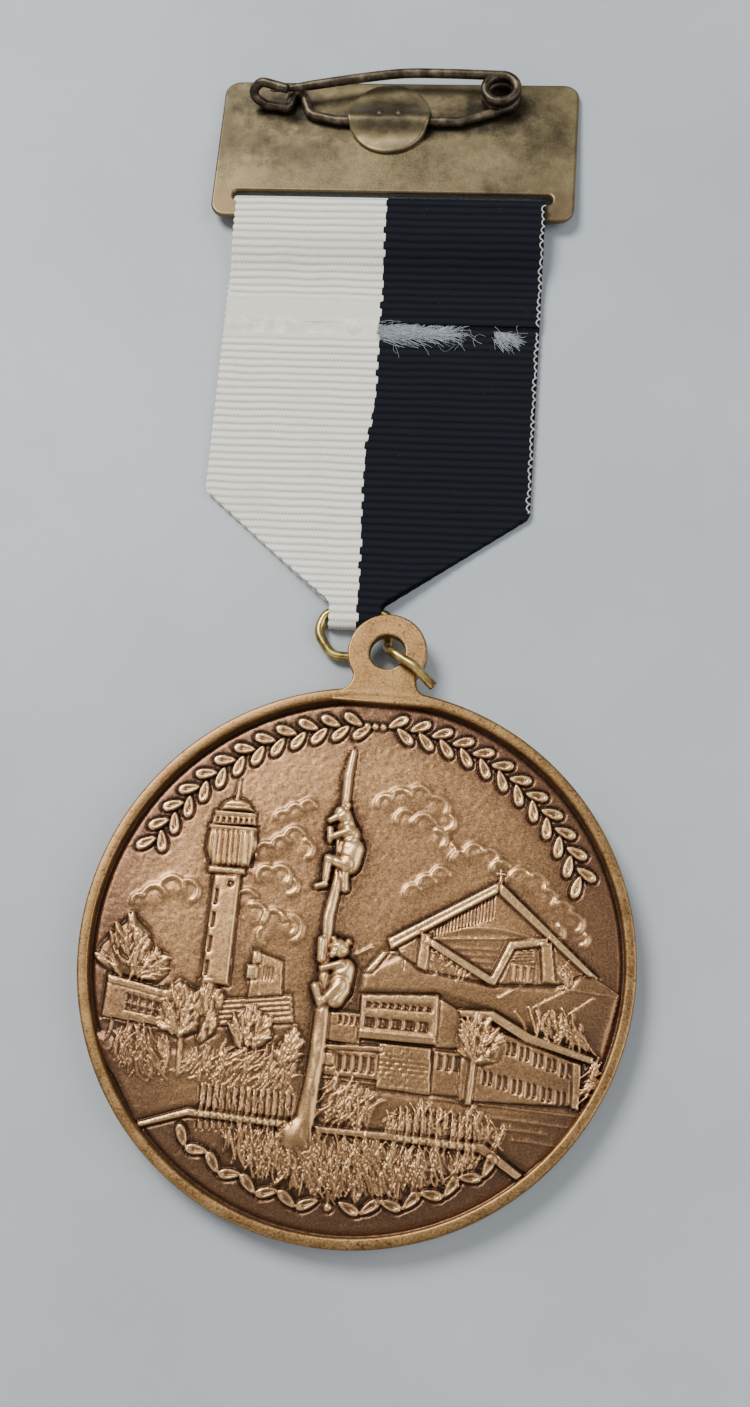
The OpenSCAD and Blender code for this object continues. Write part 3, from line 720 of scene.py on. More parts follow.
def animals():
    """Two climbing animals. Each limb: x, y, x, y, radius, radius, height."""
    for a in ((-1.7, 9.9, -1.7, 13.2, 1.25, 1.0, 0.95), (-1.6, 10.2, -1.3, 11.6, 1.25, 1.2, 1.0),
              (-1.9, 13.2, -2.6, 15.4, 0.95, 0.7, 0.9), (-2.9, 15.3, -3.1, 15.5, 0.85, 0.8, 1.0),
              (-3.4, 15.1, -4.2, 14.6, 0.5, 0.34, 0.85), (-2.5, 16.2, -2.4, 16.5, 0.34, 0.3, 0.8),
              (-1.9, 13.6, -4.0, 12.7, 0.52, 0.42, 1.0), (-4.1, 13.6, -4.0, 12.4, 0.42, 0.36, 0.8),
              (-2.0, 9.8, -3.9, 10.3, 0.75, 0.6, 0.95), (-3.9, 10.2, -4.0, 8.0, 0.55, 0.42, 0.85),
              (-4.0, 7.5, -4.9, 7.2, 0.4, 0.3, 0.75), (-2.0, 8.9, -1.8, 7.2, 0.55, 0.5, 0.7),
              (-0.9, -1.5, -1.2, -3.6, 1.25, 1.3, 0.95), (-1.2, -3.6, -1.5, -4.6, 1.3, 1.1, 0.95),
              (-1.7, 0.7, -1.5, 0.6, 1.05, 1.0, 1.02), (-2.2, 0.1, -2.3, -0.1, 0.45, 0.4, 1.05),
              (-0.7, 1.4, -0.7, 1.5, 0.36, 0.34, 0.9), (-2.3, 1.6, -2.3, 1.7, 0.34, 0.32, 0.9),
              (-1.2, -0.9, -3.2, -1.6, 0.5, 0.42, 1.0), (-3.5, -0.6, -3.6, 1.4, 0.46, 0.5, 0.85),
              (-1.2, -3.2, -2.7, -5.0, 0.6, 0.55, 1.0), (-3.7, -3.6, -3.0, -5.3, 0.55, 0.5, 0.85)):
        limb(*a)
    # eyes and a nose
    for x, y in ((-3.15, 15.35), (-1.95, 0.75), (-1.2, 0.7)):
        w = window(x - 0.5, y - 0.5, x + 0.5, y + 0.5)
        H[w] -= 0.22 * hump(np.hypot(X[w] - x, Y[w] - y), 0.14)


def garlands():
    """Two garlands round the border, each with a bud at its middle."""
    for i in range(25):
        a = math.radians(157 - i * 5.5)
        x, y = 25.7 * math.cos(a), 25.7 * math.sin(a)
        k = 1 if i < 12 else -1
        if i == 12:
            for dx in (-0.9, 0, 0.9):
                limb(x + dx, y, x + dx, y, 0.42, 0.42, 0.45)
        else:
            leaf(a, 26.45, -0.62 * k, -k)
            leaf(a - math.radians(2.2), 25.0, 0.62 * k, -k)
    for i in range(17):
        a = math.radians(232 + i * 4.8)
        x, y = 25.9 * math.cos(a), 25.9 * math.sin(a)
        k = 1 if i < 8 else -1
        if i == 8:
            limb(x, y, x, y, 0.5, 0.5, 0.45)
        else:
            leaf(a, 25.85, 0.5 * k * (1 if i % 2 else -1), k)


# from the ground behind to the trunk in front
dish()
far_ground()
clouds()
tower()
left_houses()
hall()
flat_roofs()
greenery()
fences()
trunk()
animals()
garlands()
H += 0.012 * value_noise(X, Y, 41, 0.3) + 0.008 * value_noise(X, Y, 42, 0.16)


def blur(a, sigma):
    """Gaussian blur of a grid, sigma in millimetres."""
    n = int(3 * sigma / STEP)
    k = np.exp(-0.5 * (np.arange(-n, n + 1) * STEP / sigma) ** 2)
    k /= k.sum()
    for axis in (0, 1):
        a = np.apply_along_axis(lambda v: np.convolve(np.pad(v, n, "edge"), k, "valid"), axis, a)
    return a


# how pale the metal is: high points against their surroundings, near and wide
TONE = (H - blur(H, 0.45)) * 2.1 + (H - blur(H, 1.4)) * 0.9


# ---------------------------------------------------------------- finishes
def bronze_face():
    """Struck bronze: pale on the high parts, dark in the hollows and by the border, with painted shade
    towards the bottom.
    """
    m = Mat("bronze_face")
    tone, rad = m.attr("tone"), m.attr("rad")
    grain, cloud = m.noise(5200, 5, 0.6), m.noise(170, 3, 0.5)
    f = m.span(m.add(tone, m.sway(grain, 0.5), m.sway(cloud, 0.25)), -0.75, 0.85)
    mid = m.ramp(f, [(0.0, (0.024, 0.011, 0.005)), (0.27, (0.105, 0.052, 0.024)),
                     (0.45, (0.32, 0.172, 0.078)), (0.62, (0.52, 0.295, 0.130)),
                     (1.0, (0.80, 0.53, 0.26))])
    edge = m.ramp(f, [(0.0, (0.014, 0.007, 0.005)), (0.30, (0.050, 0.024, 0.015)),
                      (0.50, (0.150, 0.074, 0.043)), (0.72, (0.42, 0.225, 0.100)),
                      (1.0, (0.84, 0.55, 0.28))])
    out = m.span(m.add(rad, m.sway(cloud, 7.0)), 21.5, 28.6)
    # painted shade: the face turns darker towards its bottom
    low = m.times(m.span(m.xyz()[1], (SHIFT + 4) * MM, (SHIFT - 26) * MM), 0.42)
    m.set(Base_Color=m.mix(low, m.mix(out, mid, edge), (0.085, 0.044, 0.022)), Metallic=0.82,
          Roughness=m.span(grain, -0.2, 2.0), Specular_IOR_Level=0.45)
    m.bump(grain, 0.16, 0.00006)
    return m


def bronze_rim():
    """Worn bronze with small dark pits."""
    m = Mat("bronze_rim")
    cloud, grain = m.noise(300, 4, 0.6), m.noise(4200, 4, 0.65)
    pits = m.span(m.noise(2300, 2, 0.5), 0.30, 0.38)
    fine = m.add(m.times(cloud, 0.35), m.times(grain, 0.65))
    col = m.ramp(fine, [(0.33, (0.10, 0.052, 0.019)), (0.48, (0.235, 0.132, 0.050)),
                        (0.66, (0.40, 0.240, 0.095))])
    m.set(Base_Color=m.mix(pits, (0.12, 0.060, 0.025), col), Metallic=0.9,
          Roughness=m.span(fine, -0.3, 1.7))
    m.bump(grain, 0.14, 0.00006)
    return m


def wire_metal(name, clouds, stops, metallic, rough, bump):
    """Wire with soft patches. rough is the patches' values for roughness 0 and 1."""
    m = Mat(name)
    c = m.noise(*clouds)
    m.set(Base_Color=m.ramp(c, stops), Metallic=metallic, Roughness=m.span(c, *rough))
    m.bump(m.noise(bump[0], bump[1]), bump[2], bump[3])
    return m


def old_brass(name, stains_and_shade):
    """Mottled antique brass with dark patches, some stains and some painted shade. Each patch is x, y, half
    width, half height, depth, in the plate's own millimetres."""
    m = Mat(name)
    big, mid, fine = m.noise(95, 4, 0.55), m.noise(600, 5, 0.65), m.noise(3600, 4, 0.6)
    f = m.add(m.times(big, 0.45), m.times(mid, 0.35), m.times(fine, 0.2))
    col = m.ramp(f, [(0.30, (0.050, 0.038, 0.020)), (0.44, (0.105, 0.081, 0.042)),
                     (0.56, (0.160, 0.125, 0.066)), (0.72, (0.26, 0.205, 0.105))])
    base = m.mix(m.span(m.noise(60, 2), 0.45, 0.75), col, (0.26, 0.205, 0.098))
    place = m.xyz()
    # each patch darkens the brass, whether a stain or painted shade
    for x, y, rx, ry, k in stains_and_shade:
        wx, wy = x + BAR_X, y + BAR_Y + SHIFT
        dx = m.times(m.math("SUBTRACT", place[0], wx * MM), 1 / (rx * MM))
        dy = m.times(m.math("SUBTRACT", place[1], wy * MM), 1 / (ry * MM))
        d = m.math("SQRT", m.add(m.times(dx, dx), m.times(dy, dy)))
        d = m.add(d, m.sway(mid, 1.1))
        base = m.mix(m.times(m.span(d, 1.15, 0.35), k), base, (0.022, 0.016, 0.010))
    # painted shade: a browner band under the slot, where its lip rolls in, by the ribbon
    lip_shade = m.span(m.add(place[1], m.sway(mid, 0.0006)), (96.1 + SHIFT) * MM, (94.6 + SHIFT) * MM)
    base = m.mix(m.times(lip_shade, 0.5), base, (0.12, 0.070, 0.036))
    m.set(Base_Color=base, Metallic=0.75, Roughness=m.span(f, -0.1, 1.5))
    m.bump(fine, 0.14, 0.00008)
    return m


def cloth(name, low, high, gloss, glued=None, specks=None):
    """Ribbed cloth, low between the ribs and high on them: the low colour is painted shade in the valleys,
    and on the dark cloth the high colour is a painted sheen on the rib tops. glued tints a band.
    """
    m = Mat(name)
    place = m.xyz()
    slope = m.add(place[0], m.times(place[1], 0.42))
    wave = m.math("SINE", m.times(slope, 2 * math.pi / 0.00042))
    wave = m.times(m.add(wave, 1.0), 0.5)
    soil = m.noise(140, 4, 0.6)
    # painted shade: from low in the valleys between the ribs to high on the rib tops
    f = m.add(m.times(m.attr("rib"), 0.74), m.times(wave, 0.14), m.times(soil, 0.12))
    col = m.mix(f, low, high)
    if glued:
        y0, y1, tint, k = glued
        ny = m.add(place[1], m.sway(m.noise(260, 3), 0.0022))
        a = m.span(ny, (y0 - 0.7) * MM, (y0 + 0.5) * MM)
        b = m.span(ny, (y1 + 0.6) * MM, (y1 - 0.6) * MM)
        col = m.mix(m.times(m.times(a, b), k), col, tint)
        col = m.mix(m.times(m.span(soil, 0.52, 0.72), 0.35), col, (0.60, 0.53, 0.38))
    if specks:
        col = m.mix(m.times(m.span(m.noise(2400, 2, 0.4), 0.72, 0.80), 0.5), col, specks)
    m.set(Base_Color=col, Roughness=0.9, Specular_IOR_Level=gloss)
    m.bump(m.add(wave, m.times(m.noise(5000, 3), 0.8)), 0.7, 0.00009)
    return m


def plain(name, colour, rough):
    """One colour, a little darker and paler in patches."""
    m = Mat(name)
    a, b = tuple(c * 0.82 for c in colour), tuple(min(1, c * 1.12) for c in colour)
    m.set(Base_Color=m.ramp(m.noise(900, 4, 0.6), [(0.3, a), (0.7, b)]), Roughness=rough)
    m.bump(m.noise(2500, 3), 0.3, 0.00008)
    return m


FACE, RIM = bronze_face(), bronze_rim()
WIRE = wire_metal("brass_wire", (700, 4, 0.6), [(0.3, (0.12, 0.080, 0.022)), (0.5, (0.36, 0.26, 0.085)),
                                                (0.72, (0.62, 0.48, 0.19))],
                  1.0, (-0.3, 2.2), (3000, 3, 0.12, 0.00004))
PIN = wire_metal("dark_wire", (520, 5, 0.65), [(0.3, (0.018, 0.013, 0.010)), (0.50, (0.068, 0.052, 0.034)),
                                               (0.74, (0.24, 0.185, 0.115))],
                 0.9, (-0.5, 1.7), (2600, 4, 0.25, 0.00006))
# dark patches: painted shadow under the coil, the arm, the cap and the catch, and fainter patches elsewhere
PLATE = old_brass("old_brass", [
    (11.0, 5.6, 6.0, 3.4, 0.95), (-14.5, 6.2, 6.0, 3.6, 0.95), (-3.0, 4.2, 11.0, 3.2, 0.9),
    (-18.5, 1.0, 4.0, 3.4, 0.55), (5.0, 3.4, 7.0, 1.8, 0.85), (0, 10.1, 22, 1.0, 0.45),
    (-22.0, 3.0, 3.0, 9.0, 0.6), (-12.0, -0.5, 7.0, 3.0, 0.45)])
# dark patches on the cap: painted reflection of dark surroundings over its upper part, and a painted shadow
# line just under the arm
DISC = old_brass("brass_painted_shade", [
    (CAP_X, ARM_Y + 0.6, 6.5, 2.3, 0.8), (0.4, 6.6, 2.4, 1.4, 0.5), (CAP_X, ARM_Y - 1.0, 6, 0.8, 0.5)])
# first colour: painted shade between the ribs; second: the rib tops, on the black cloth a painted sheen
WHITE = cloth("white_ribs", (0.27, 0.24, 0.17), (0.97, 0.94, 0.85), 0.2,
              glued=(74.9 + SHIFT, 80.4 + SHIFT, (0.74, 0.70, 0.58), 0.85))
BLACK = cloth("black_ribs", (0.0015, 0.0017, 0.0025), (0.0105, 0.012, 0.017), 0.08,
              specks=(0.03, 0.036, 0.048))
THREAD = plain("grey_thread", (0.45, 0.45, 0.43), 0.9)
GLUE = plain("dried_glue", (0.74, 0.70, 0.58), 0.45)
FUZZ = plain("pale_fibre", (0.40, 0.43, 0.48), 0.9)


# ---------------------------------------------------------------- solids
def inset(loop, k):
    """Moves a closed outline inwards by k (its points run anticlockwise)."""
    p = np.asarray(loop, float)
    d = np.roll(p, -1, 0) - np.roll(p, 1, 0)
    d /= np.linalg.norm(d, axis=1)[:, None] + 1e-12
    return p + k * np.c_[-d[:, 1], d[:, 0]]


def slab(outline, holes, z0, z1, bevel):
    """Flat part with rounded edges; holes run clockwise."""
    a = np.linspace(0, math.pi / 2, 5)
    levels = [(bevel + 0.06, z1)]
    levels += [(bevel * (1 - math.sin(t)), z1 - bevel * (1 - math.cos(t))) for t in a]
    levels += [(k, z0 + z1 - z) for k, z in reversed(levels)]
    verts, faces, tops, lows = [], [], [], []
    for loop in [outline] + holes:
        n, start = len(loop), len(verts)
        for k, z in levels:
            verts += [(x, y, z) for x, y in inset(loop, k)]
        faces += [[start + i for i in f] for f in grid_faces(len(levels), n, True).tolist()]
        tops.append((start, n))
        lows.append((start + (len(levels) - 1) * n, n))
    for group in (tops, lows):
        index = [s + i for s, n in group for i in range(n)]
        loops = [[Vector((*verts[s + i][:2], 0)) for i in range(n)] for s, n in group]
        faces += [[index[i] for i in f] for f in tessellate_polygon(loops)]
    return verts, faces


def fix_normals(o):
    """Turns every face outwards."""
    b = bmesh.new()
    b.from_mesh(o.data)
    bmesh.ops.recalc_face_normals(b, faces=b.faces)
    b.to_mesh(o.data)
    b.free()
    return o


def node_piece(name, shape, mat, body, node, smooth, place):
    """A closed piece that takes the place of its CAD node."""
    o = fix_normals(mesh(name, *shape, mat, body, node, smooth, place))
    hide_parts(node)


def fillet(points, radii, step=0.12):
    """Wire centre line: straights joined by round bends."""
    p = np.asarray(points, float)
    out = [p[0]]
    for i in range(1, len(p) - 1):
        u, v = p[i] - p[i - 1], p[i + 1] - p[i]
        u, v = u / np.linalg.norm(u), v / np.linalg.norm(v)
        a = math.acos(np.clip(np.dot(u, v), -1, 1))
        r = radii[i]
        n = v - u
        n /= np.linalg.norm(n)
        c = p[i] + n * r / math.cos(a / 2)
        x = p[i] - u * r * math.tan(a / 2) - c
        for t in np.linspace(0, a, max(4, int(a * r / step))):
            out.append(c + x * math.cos(t) + u * r * math.sin(t))
    out.append(p[-1])
    out = np.array(out)
    s = run_length(out)
    keep = np.r_[True, np.diff(s) > 1e-6]
    out, s = out[keep], s[keep]
    q = np.unique(np.r_[s, np.arange(0, s[-1], 0.5)])
    return np.stack([np.interp(q, s, out[:, k]) for k in range(3)], -1)


# ---------------------------------------------------------------- medal
def sample(field, x, y):
    """A grid field's value between its points."""
    u, v = (x - AX[0]) / STEP, (y - AX[0]) / STEP
    i, j = np.clip(u.astype(int), 0, len(AX) - 2), np.clip(v.astype(int), 0, len(AX) - 2)
    a, b = u - i, v - j
    near = field[i, j] * (1 - b) + field[i, j + 1] * b
    far = field[i + 1, j] * (1 - b) + field[i + 1, j + 1] * b
    return near * (1 - a) + far * a


def round_arc(x, y, r, angles):
    return [(x + r * math.cos(t), y + r * math.sin(t)) for t in np.radians(angles)]


def make_medal():
    # the struck face: the height grid, thinned where it is flat
    v = np.c_[X.ravel(), Y.ravel(), (FIELD_Z + H).ravel()]
    f = grid_faces(len(AX), len(AX))
    f = f[(RAD.ravel()[f] < FIELD_R).all(1)]
    used = np.unique(f)
    back = np.zeros(len(v), int)
    back[used] = np.arange(len(used))
    face = mesh("medal_face", v[used], np.roll(back[f], 1, 1), FACE, "medal", "medal", 180)
    mod = face.modifiers.new("fewer", "DECIMATE")
    mod.ratio = 0.55
    mod.use_collapse_triangulate = True
    dg = bpy.context.evaluated_depsgraph_get()
    small = bpy.data.meshes.new_from_object(face.evaluated_get(dg))
    face.modifiers.clear()
    face.data = small
    co = np.empty(len(small.vertices) * 3, np.float32)
    small.vertices.foreach_get("co", co)
    co = co.reshape(-1, 3) / MM
    for key, field in (("tone", TONE), ("rad", RAD)):
        set_attr(small, key, sample(field, co[:, 0], co[:, 1]))
    small.vertices.foreach_set("co", (to_medal(co) * MM).astype(np.float32).ravel())
    small.polygons.foreach_set("use_smooth", [True] * len(small.polygons))
    small.update()
    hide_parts("medal")
    # the rim, turned with the plain back: radius and height of its outline
    prof = [(WALL_R, 2.2), (28.74, 3.2), (28.8, 3.46), (28.9, 3.57), (29.05, RIM_H),
            (29.7, RIM_H), (29.86, 3.57), (29.97, 3.46), (RIM_R, 3.3), (RIM_R, 0.3), (29.97, 0.15),
            (29.88, 0.04), (29.7, 0.0), (28.9, 0.0), (WALL_R, 0.06), (28.6, 0.16), (28.4, 0.2),
            (14, 0.2), (0.02, 0.2)]
    v, f = lathe(prof, 360)
    fix_normals(mesh("medal_rim", v, f, RIM, "medal", "medal", 40, place=to_medal))
    # the eyelet and its neck
    ring = round_arc(0, EYE_Y, EYE_R, range(-38, 219, 4))
    right = [(5.6, 28.2), (5.2, 29.25), (4.35, 29.75), (3.85, 30.2), (3.66, 30.7)]
    left = [(-x, y) for x, y in reversed(right)]
    hole = round_arc(0, EYE_Y, HOLE_R, range(0, -360, -6))
    v, f = slab(right + ring + left, [hole], 2.2, RIM_H - 0.005, 0.22)
    fix_normals(mesh("medal_eyelet", v, f, RIM, "medal", "medal", 40, place=to_medal))


# ---------------------------------------------------------------- ribbon
def loop_path():
    """Side line of the cloth as (y, z), from the cut end over the strap,
    down the front, round the ring and back up."""
    a = np.radians(np.linspace(90, -90, 60))
    top = np.c_[STRAP_Y + STRAP_R * np.cos(a), STRAP_Z + STRAP_R * np.sin(a)]
    b = np.radians(np.linspace(-90, -270, 40))
    low = np.c_[POINT_Y + POINT_R * np.cos(b), POINT_Z + POINT_R * np.sin(b)]
    pts = np.vstack([[(77, 0.97), (82, 0.99), (84, 1.35), (86.2, 2.35), (88.1, 2.92)], top, low,
                     [(40.9, 1.72), (43.5, 1.25), (46, 0.8), (48, 0.66), (82, 0.645)]])
    s = run_length(pts)
    q = np.arange(0, s[-1], 0.03)
    p = np.c_[np.interp(q, s, pts[:, 0]), np.interp(q, s, pts[:, 1])]
    k = np.exp(-0.5 * (np.arange(-18, 19) / 6.0) ** 2)
    k /= k.sum()
    # soften the bends, with the line carried on past both ends
    for c in (0, 1):
        e = np.r_[2 * p[0, c] - p[18:0:-1, c], p[:, c], 2 * p[-1, c] - p[-2:-20:-1, c]]
        p[:, c] = np.convolve(e, k, "valid")
    return q, p


def edges(y, tail):
    """Left and right edge at each height, with softened corners; the tail is narrower."""
    steps = [y + d for d in (-0.4, -0.2, 0, 0.2, 0.4)]
    lo = sum(np.interp(q, [37, 40.6, 54.4, 95], [-6.0, -6.0, LEFT, LEFT]) for q in steps) / 5
    hi = sum(np.interp(q, [37, 40.6, 52.4, 95], [-0.1, -0.1, RIGHT, RIGHT]) for q in steps) / 5
    return lo + np.where(tail, 0.3, 0), hi


def make_ribbon():
    q, p = loop_path()
    length = q[-1]
    down0 = TAIL_LENGTH + FOLD_LENGTH
    down1 = down0 + FRONT_LENGTH
    # rows of points along the cloth, closer together at the tail and the folds
    s = np.r_[np.arange(0, down0, 0.125), np.arange(down0, down1, 0.25), np.arange(down1, length, 0.125)]
    y, z = np.interp(s, q, p[:, 0]), np.interp(s, q, p[:, 1])
    dy, dz = np.gradient(y, s), np.gradient(z, s)
    k = np.hypot(dy, dz)
    ny, nz = (-dz / k)[:, None], (dy / k)[:, None]
    lo, hi = edges(y, s < TAIL_LENGTH)
    seam = np.interp(y, [37.5, 48, 54, 60.7, 66.6, 74, 95], [-2.7, -3.1, -3.4, -3.5, -2.8, -2.9, -3.1])
    row = np.floor(s / PITCH)
    seam = seam + 0.10 * np.where(row % 2 > 0, 1, -1) + 0.06 * np.sin(row * 2.4) + 0.05 * np.sin(row * 5.1)
    seam = np.clip(seam, lo + 1.0, hi - 1.0)
    s, z = s[:, None], z[:, None]
    cols = 48
    u = np.linspace(0, 1, cols)
    u = u - 0.14 / math.pi * np.sin(2 * math.pi * u)
    for name, x0, x1, mat, node in (("ribbon_white", lo, seam, WHITE, "ribbon_light"),
                                    ("ribbon_black", seam, hi, BLACK, "ribbon_dark")):
        white = node == "ribbon_light"
        x0, x1 = x0[:, None], x1[:, None]
        xx = x0 + (x1 - x0) * u
        yy = y[:, None] + 0 * xx
        # ribs across the cloth, a little uneven, as half thickness h
        ss = s + 0.07 * value_noise(xx, s + 0 * xx, 51, 3.0) + 0.02 * np.sin(xx * 0.9)
        wave = np.abs(np.sin(math.pi * ss / PITCH))
        rib = wave**0.75
        h = 0.088 + 0.087 * rib
        if white:
            # the cut end is soaked with glue, so its ribs are faint
            band = 0.85 * smooth01((yy - 75.2) / 0.6) * smooth01((80.2 - yy) / 0.6) * (s < 6)
            h = h * (1 - band) + 0.168 * band
            rib = rib * (1 - band) + 0.8 * band
        # scalloped and thinner outer edge, thicker where it is folded to the point
        out = (xx - x0) if white else (x1 - xx)
        scallop = 0.16 * (wave - 0.5) * np.clip(1 - out / 0.7, 0, 1)
        xx = xx + (-scallop if white else scallop * 0.6)
        end = np.clip(out / 0.22, 0, 1)
        h = h * (0.25 + 0.75 * np.sqrt(1 - (1 - end) ** 2))
        vee = (yy < 54.4) & (yy > 40.6)
        h = h + 0.05 * hump(out - 0.5, 0.45) * vee * (s > down1)
        # the tail lifts here and there, and its cut end droops
        lift = 0.05 * value_noise(xx, yy, 52, 6.0) * (s < TAIL_LENGTH - 5)
        zz = z + np.clip(lift, 0, 1) + np.where(s < 1.2, -0.03, 0)
        top = np.stack([xx, yy + ny * h, zz + nz * h], -1)
        low = np.stack([xx, yy - ny * h, zz - nz * h], -1)
        ring = np.concatenate([top, low[:, ::-1]], 1)
        n, m = ring.shape[:2]
        f = grid_faces(n, m, True).tolist()
        for start in (0, (n - 1) * m):
            for j in range(cols - 1):
                f.append([start + j, start + j + 1, start + m - 2 - j, start + m - 1 - j])
        o = mesh(name, ring.reshape(-1, 3), f, mat, "ribbon", node, 60, to_row)
        # rib also sets the cloth's colour: painted shade between the ribs, and on the dark cloth a painted
        # sheen on their tops
        set_attr(o.data, "rib", np.concatenate([rib, rib[:, ::-1]], 1).ravel())
        fix_normals(o)
        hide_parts(node)
    make_thread()
    make_glue()
    make_fibres()


def make_thread():
    """Edge thread on the dark side, one run on the tail and one below it."""
    tail_y, tail_z = [77, 82, 84, 86.2, 88.1, 92.2], [1.15, 1.17, 1.53, 2.53, 3.1, 3.19]
    for name, y0, y1, xe in (("edge_thread_top", 92.4, 76.9, RIGHT - 0.02),
                             ("edge_thread", 76.4, 52.7, RIGHT - 0.05)):
        t = np.arange(y0, y1, -0.09)
        ph = 2 * math.pi * t / PITCH
        z = np.interp(t, tail_y, tail_z) if name == "edge_thread_top" else 0.83
        sway = (0.17 + 0.05 * np.sin(t * 1.3)) * np.sin(ph) + 0.06 * np.sin(t * 1.7) + 0.03 * np.sin(t * 4.1)
        path = np.c_[xe - 0.16 + sway, t + 0.12 * np.cos(ph), z + 0.02 * np.cos(ph * 2)]
        v, f = tube(path, 0.085, 6)
        mesh(name, v, f, THREAD, "ribbon", "ribbon_light", 60, to_row)


def make_glue():
    """Dried glue along the cut end: a closed film that rises to the tail."""
    x0, y0, y1, z = LEFT + 0.4, 75.0, 77.5, 0.82
    gx, gy = np.meshgrid(np.arange(x0, -3.0, 0.16), np.linspace(y0, y1, 26), indexing="ij")
    wob = 0.35 * value_noise(gx, 0 * gx, 61, 2.6) + 0.2 * value_noise(gx, 0 * gx, 62, 0.8)
    t = smooth01((gy - y0 - 0.3 + wob) / (y1 - y0 - 0.5))
    zz = z - 0.03 + 0.33 * t + 0.02 * value_noise(gx, gy, 63, 0.9)
    v = np.stack([gx, gy, zz], -1).reshape(-1, 3)
    v = np.vstack([v, v * (1, 1, 0) + (0, 0, z - 0.1)])
    f = grid_faces(*gx.shape)
    rows, m = gx.shape
    n = gx.size
    b = list(range(m)) + [i * m + m - 1 for i in range(1, rows)]
    b += [n - 1 - j for j in range(1, m)] + [i * m for i in range(rows - 2, 0, -1)]
    walls = [[p, q, q + n, p + n] for p, q in zip(b, b[1:] + b[:1])]
    f = f.tolist() + (f[:, ::-1] + n).tolist() + walls
    node_piece("glue_band", (v, f), GLUE, "ribbon", "ribbon_bond", 60, to_row)


def make_fibres():
    """Loose fibres at the cut end: count, x from, x to, heading, spread, longest."""
    r = np.random.default_rng(70)
    vv, ff, count = [], [], 0
    for number, xa, xb, head, spread, longest in (
            (520, -3.3, 4.4, 7, 11, 4.4), (170, 10.9, 12.9, -32, 16, 2.6),
            (22, -3.2, 15, -90, 70, 2.4), (14, -3.0, 8.0, 60, 60, 5.0)):
        for _ in range(number):
            x = xa + (xb - xa) * r.random() ** 1.3
            thin = 1 - (x - xa) / (xb - xa + 0.01)
            a = math.radians(r.normal(head, spread))
            y0 = 75.7 + 0.6 * r.normal() * (0.15 + 0.85 * thin)
            pts = [np.array([x, min(y0, 77.1), r.uniform(0.88, 1.2)])]
            for _ in range(max(4, int(longest * r.uniform(0.35, 1) / 0.27))):
                a += r.normal(0, 0.12 if number > 100 else 0.3)
                nxt = pts[-1] + 0.27 * np.array([math.cos(a), math.sin(a), r.normal(-0.1, 0.12)])
                nxt[2] = min(max(nxt[2], 0.88), 1.6)
                pts.append(nxt)
            v, f = tube(np.array(pts), r.uniform(0.014, 0.026), 3)
            vv.append(v)
            ff += [[k + count for k in q] for q in f]
            count += len(v)
    mesh("loose_fibres", np.vstack(vv), ff, FUZZ, "ribbon", "ribbon_bond", 180, to_row)


# ---------------------------------------------------------------- plate, pin
def coil_turn(start, end, z, dip):
    """One turn of the pin's coil, from angle start to end, that dips off z at its start."""
    t = np.radians(np.linspace(start, end, 70))
    fall = dip * np.linspace(1, 0, 70) ** 2
    return np.c_[COIL_X + COIL_R * np.cos(t), COIL_Y + COIL_R * np.sin(t), z + fall]


def make_bar():
    w, h = PLATE_W / 2, PLATE_H / 2
    slot = round_rect(-19.8, 2.4 - h, 19.8, 3.8 - h, 0.6)
    slot = [(x, 6.2 - 2 * h - y) for x, y in slot]
    shape = slab(round_rect(-w, -h, w, h, 2.0), [slot], 0, PLATE_T, 0.3)
    node_piece("plate", shape, PLATE, "bar", "brooch_plate", 40, to_bar)
    # disc: a thin cap raised over the wire that crosses it, with two small dents
    radii = np.r_[np.linspace(0.02, CAP_R - 0.3, 36), CAP_R - np.array([0.15, 0.06, 0.01, 0, 0])]
    drop = np.r_[np.zeros(36), 0.02, 0.07, 0.14, 0.24, 0.6]
    sides = 180
    turn = turns(sides)
    gx, gy = CAP_X + radii[:, None] * np.cos(turn), CAP_Y + radii[:, None] * np.sin(turn)
    tent = 1.3 + 1.16 * hump(gy - ARM_Y, 1.9)
    zz = np.maximum(tent + 0.03 * value_noise(gx, gy, 81, 1.6) - drop[:, None], PLATE_T + 0.02)
    for x in (-2.2, 0.2):
        q = np.hypot(gx - x, gy - 4.6)
        zz = zz + 0.16 * hump(q, 0.3) - 0.05 * hump(q - 0.6, 0.2)
    v = np.stack([gx, gy, zz], -1).reshape(-1, 3)
    f = grid_faces(len(radii), sides, True).tolist()
    f.append(list(range(len(v) - sides, len(v))))
    f.append(list(range(sides - 1, -1, -1)))
    node_piece("pin_cap", (v, f), DISC, "bar", "pin_disc", 40, to_bar)
    # fixed wire: coil turn, arm under the cap, catch and hook
    arm = fillet([(13.46, 5.88, ARM_Z), (7.8, ARM_Y, ARM_Z), (-7.6, ARM_Y, ARM_Z), (-11.2, 4.6, ARM_Z),
                  (-13.2, 9.9, ARM_Z + 0.2), (-14.0, 5.5, ARM_Z), (-16.9, 5.95, ARM_Z + 0.1),
                  (-18.9, 6.6, ARM_Z + 1.4), (-17.3, 7.3, HOOK_Z), (-13.9, 6.2, HOOK_Z)],
                 [0, 3.5, 3.5, 1.6, 0.7, 0.9, 1.3, 1.1, 1.2, 0])
    shape = tube(np.vstack([coil_turn(270.5, -69.5, ARM_Z, 0.14)[:-1], arm]), PIN_R, 18, dome=0.5)
    node_piece("pin_wire", shape, PIN, "bar", "pin_frame", 60, to_bar)
    # needle: coil turn and a bowed wire to its tip under the hook
    bow = [(12.5, 9.75), (6.0, 9.95), (0.4, 9.9), (-5.6, 9.0), (-12.0, 7.75), (-16.4, 7.0)]
    run = spline([(x, y, NEEDLE_Z) for x, y in bow], 0.4)
    path = np.vstack([coil_turn(-255, 90, NEEDLE_Z, -0.14)[:-1], run])
    shape = tube(path, PIN_R, 18, point=5.5, dome=0.5)
    node_piece("needle_wire", shape, PIN, "needle", "pin_needle", 60, to_bar)


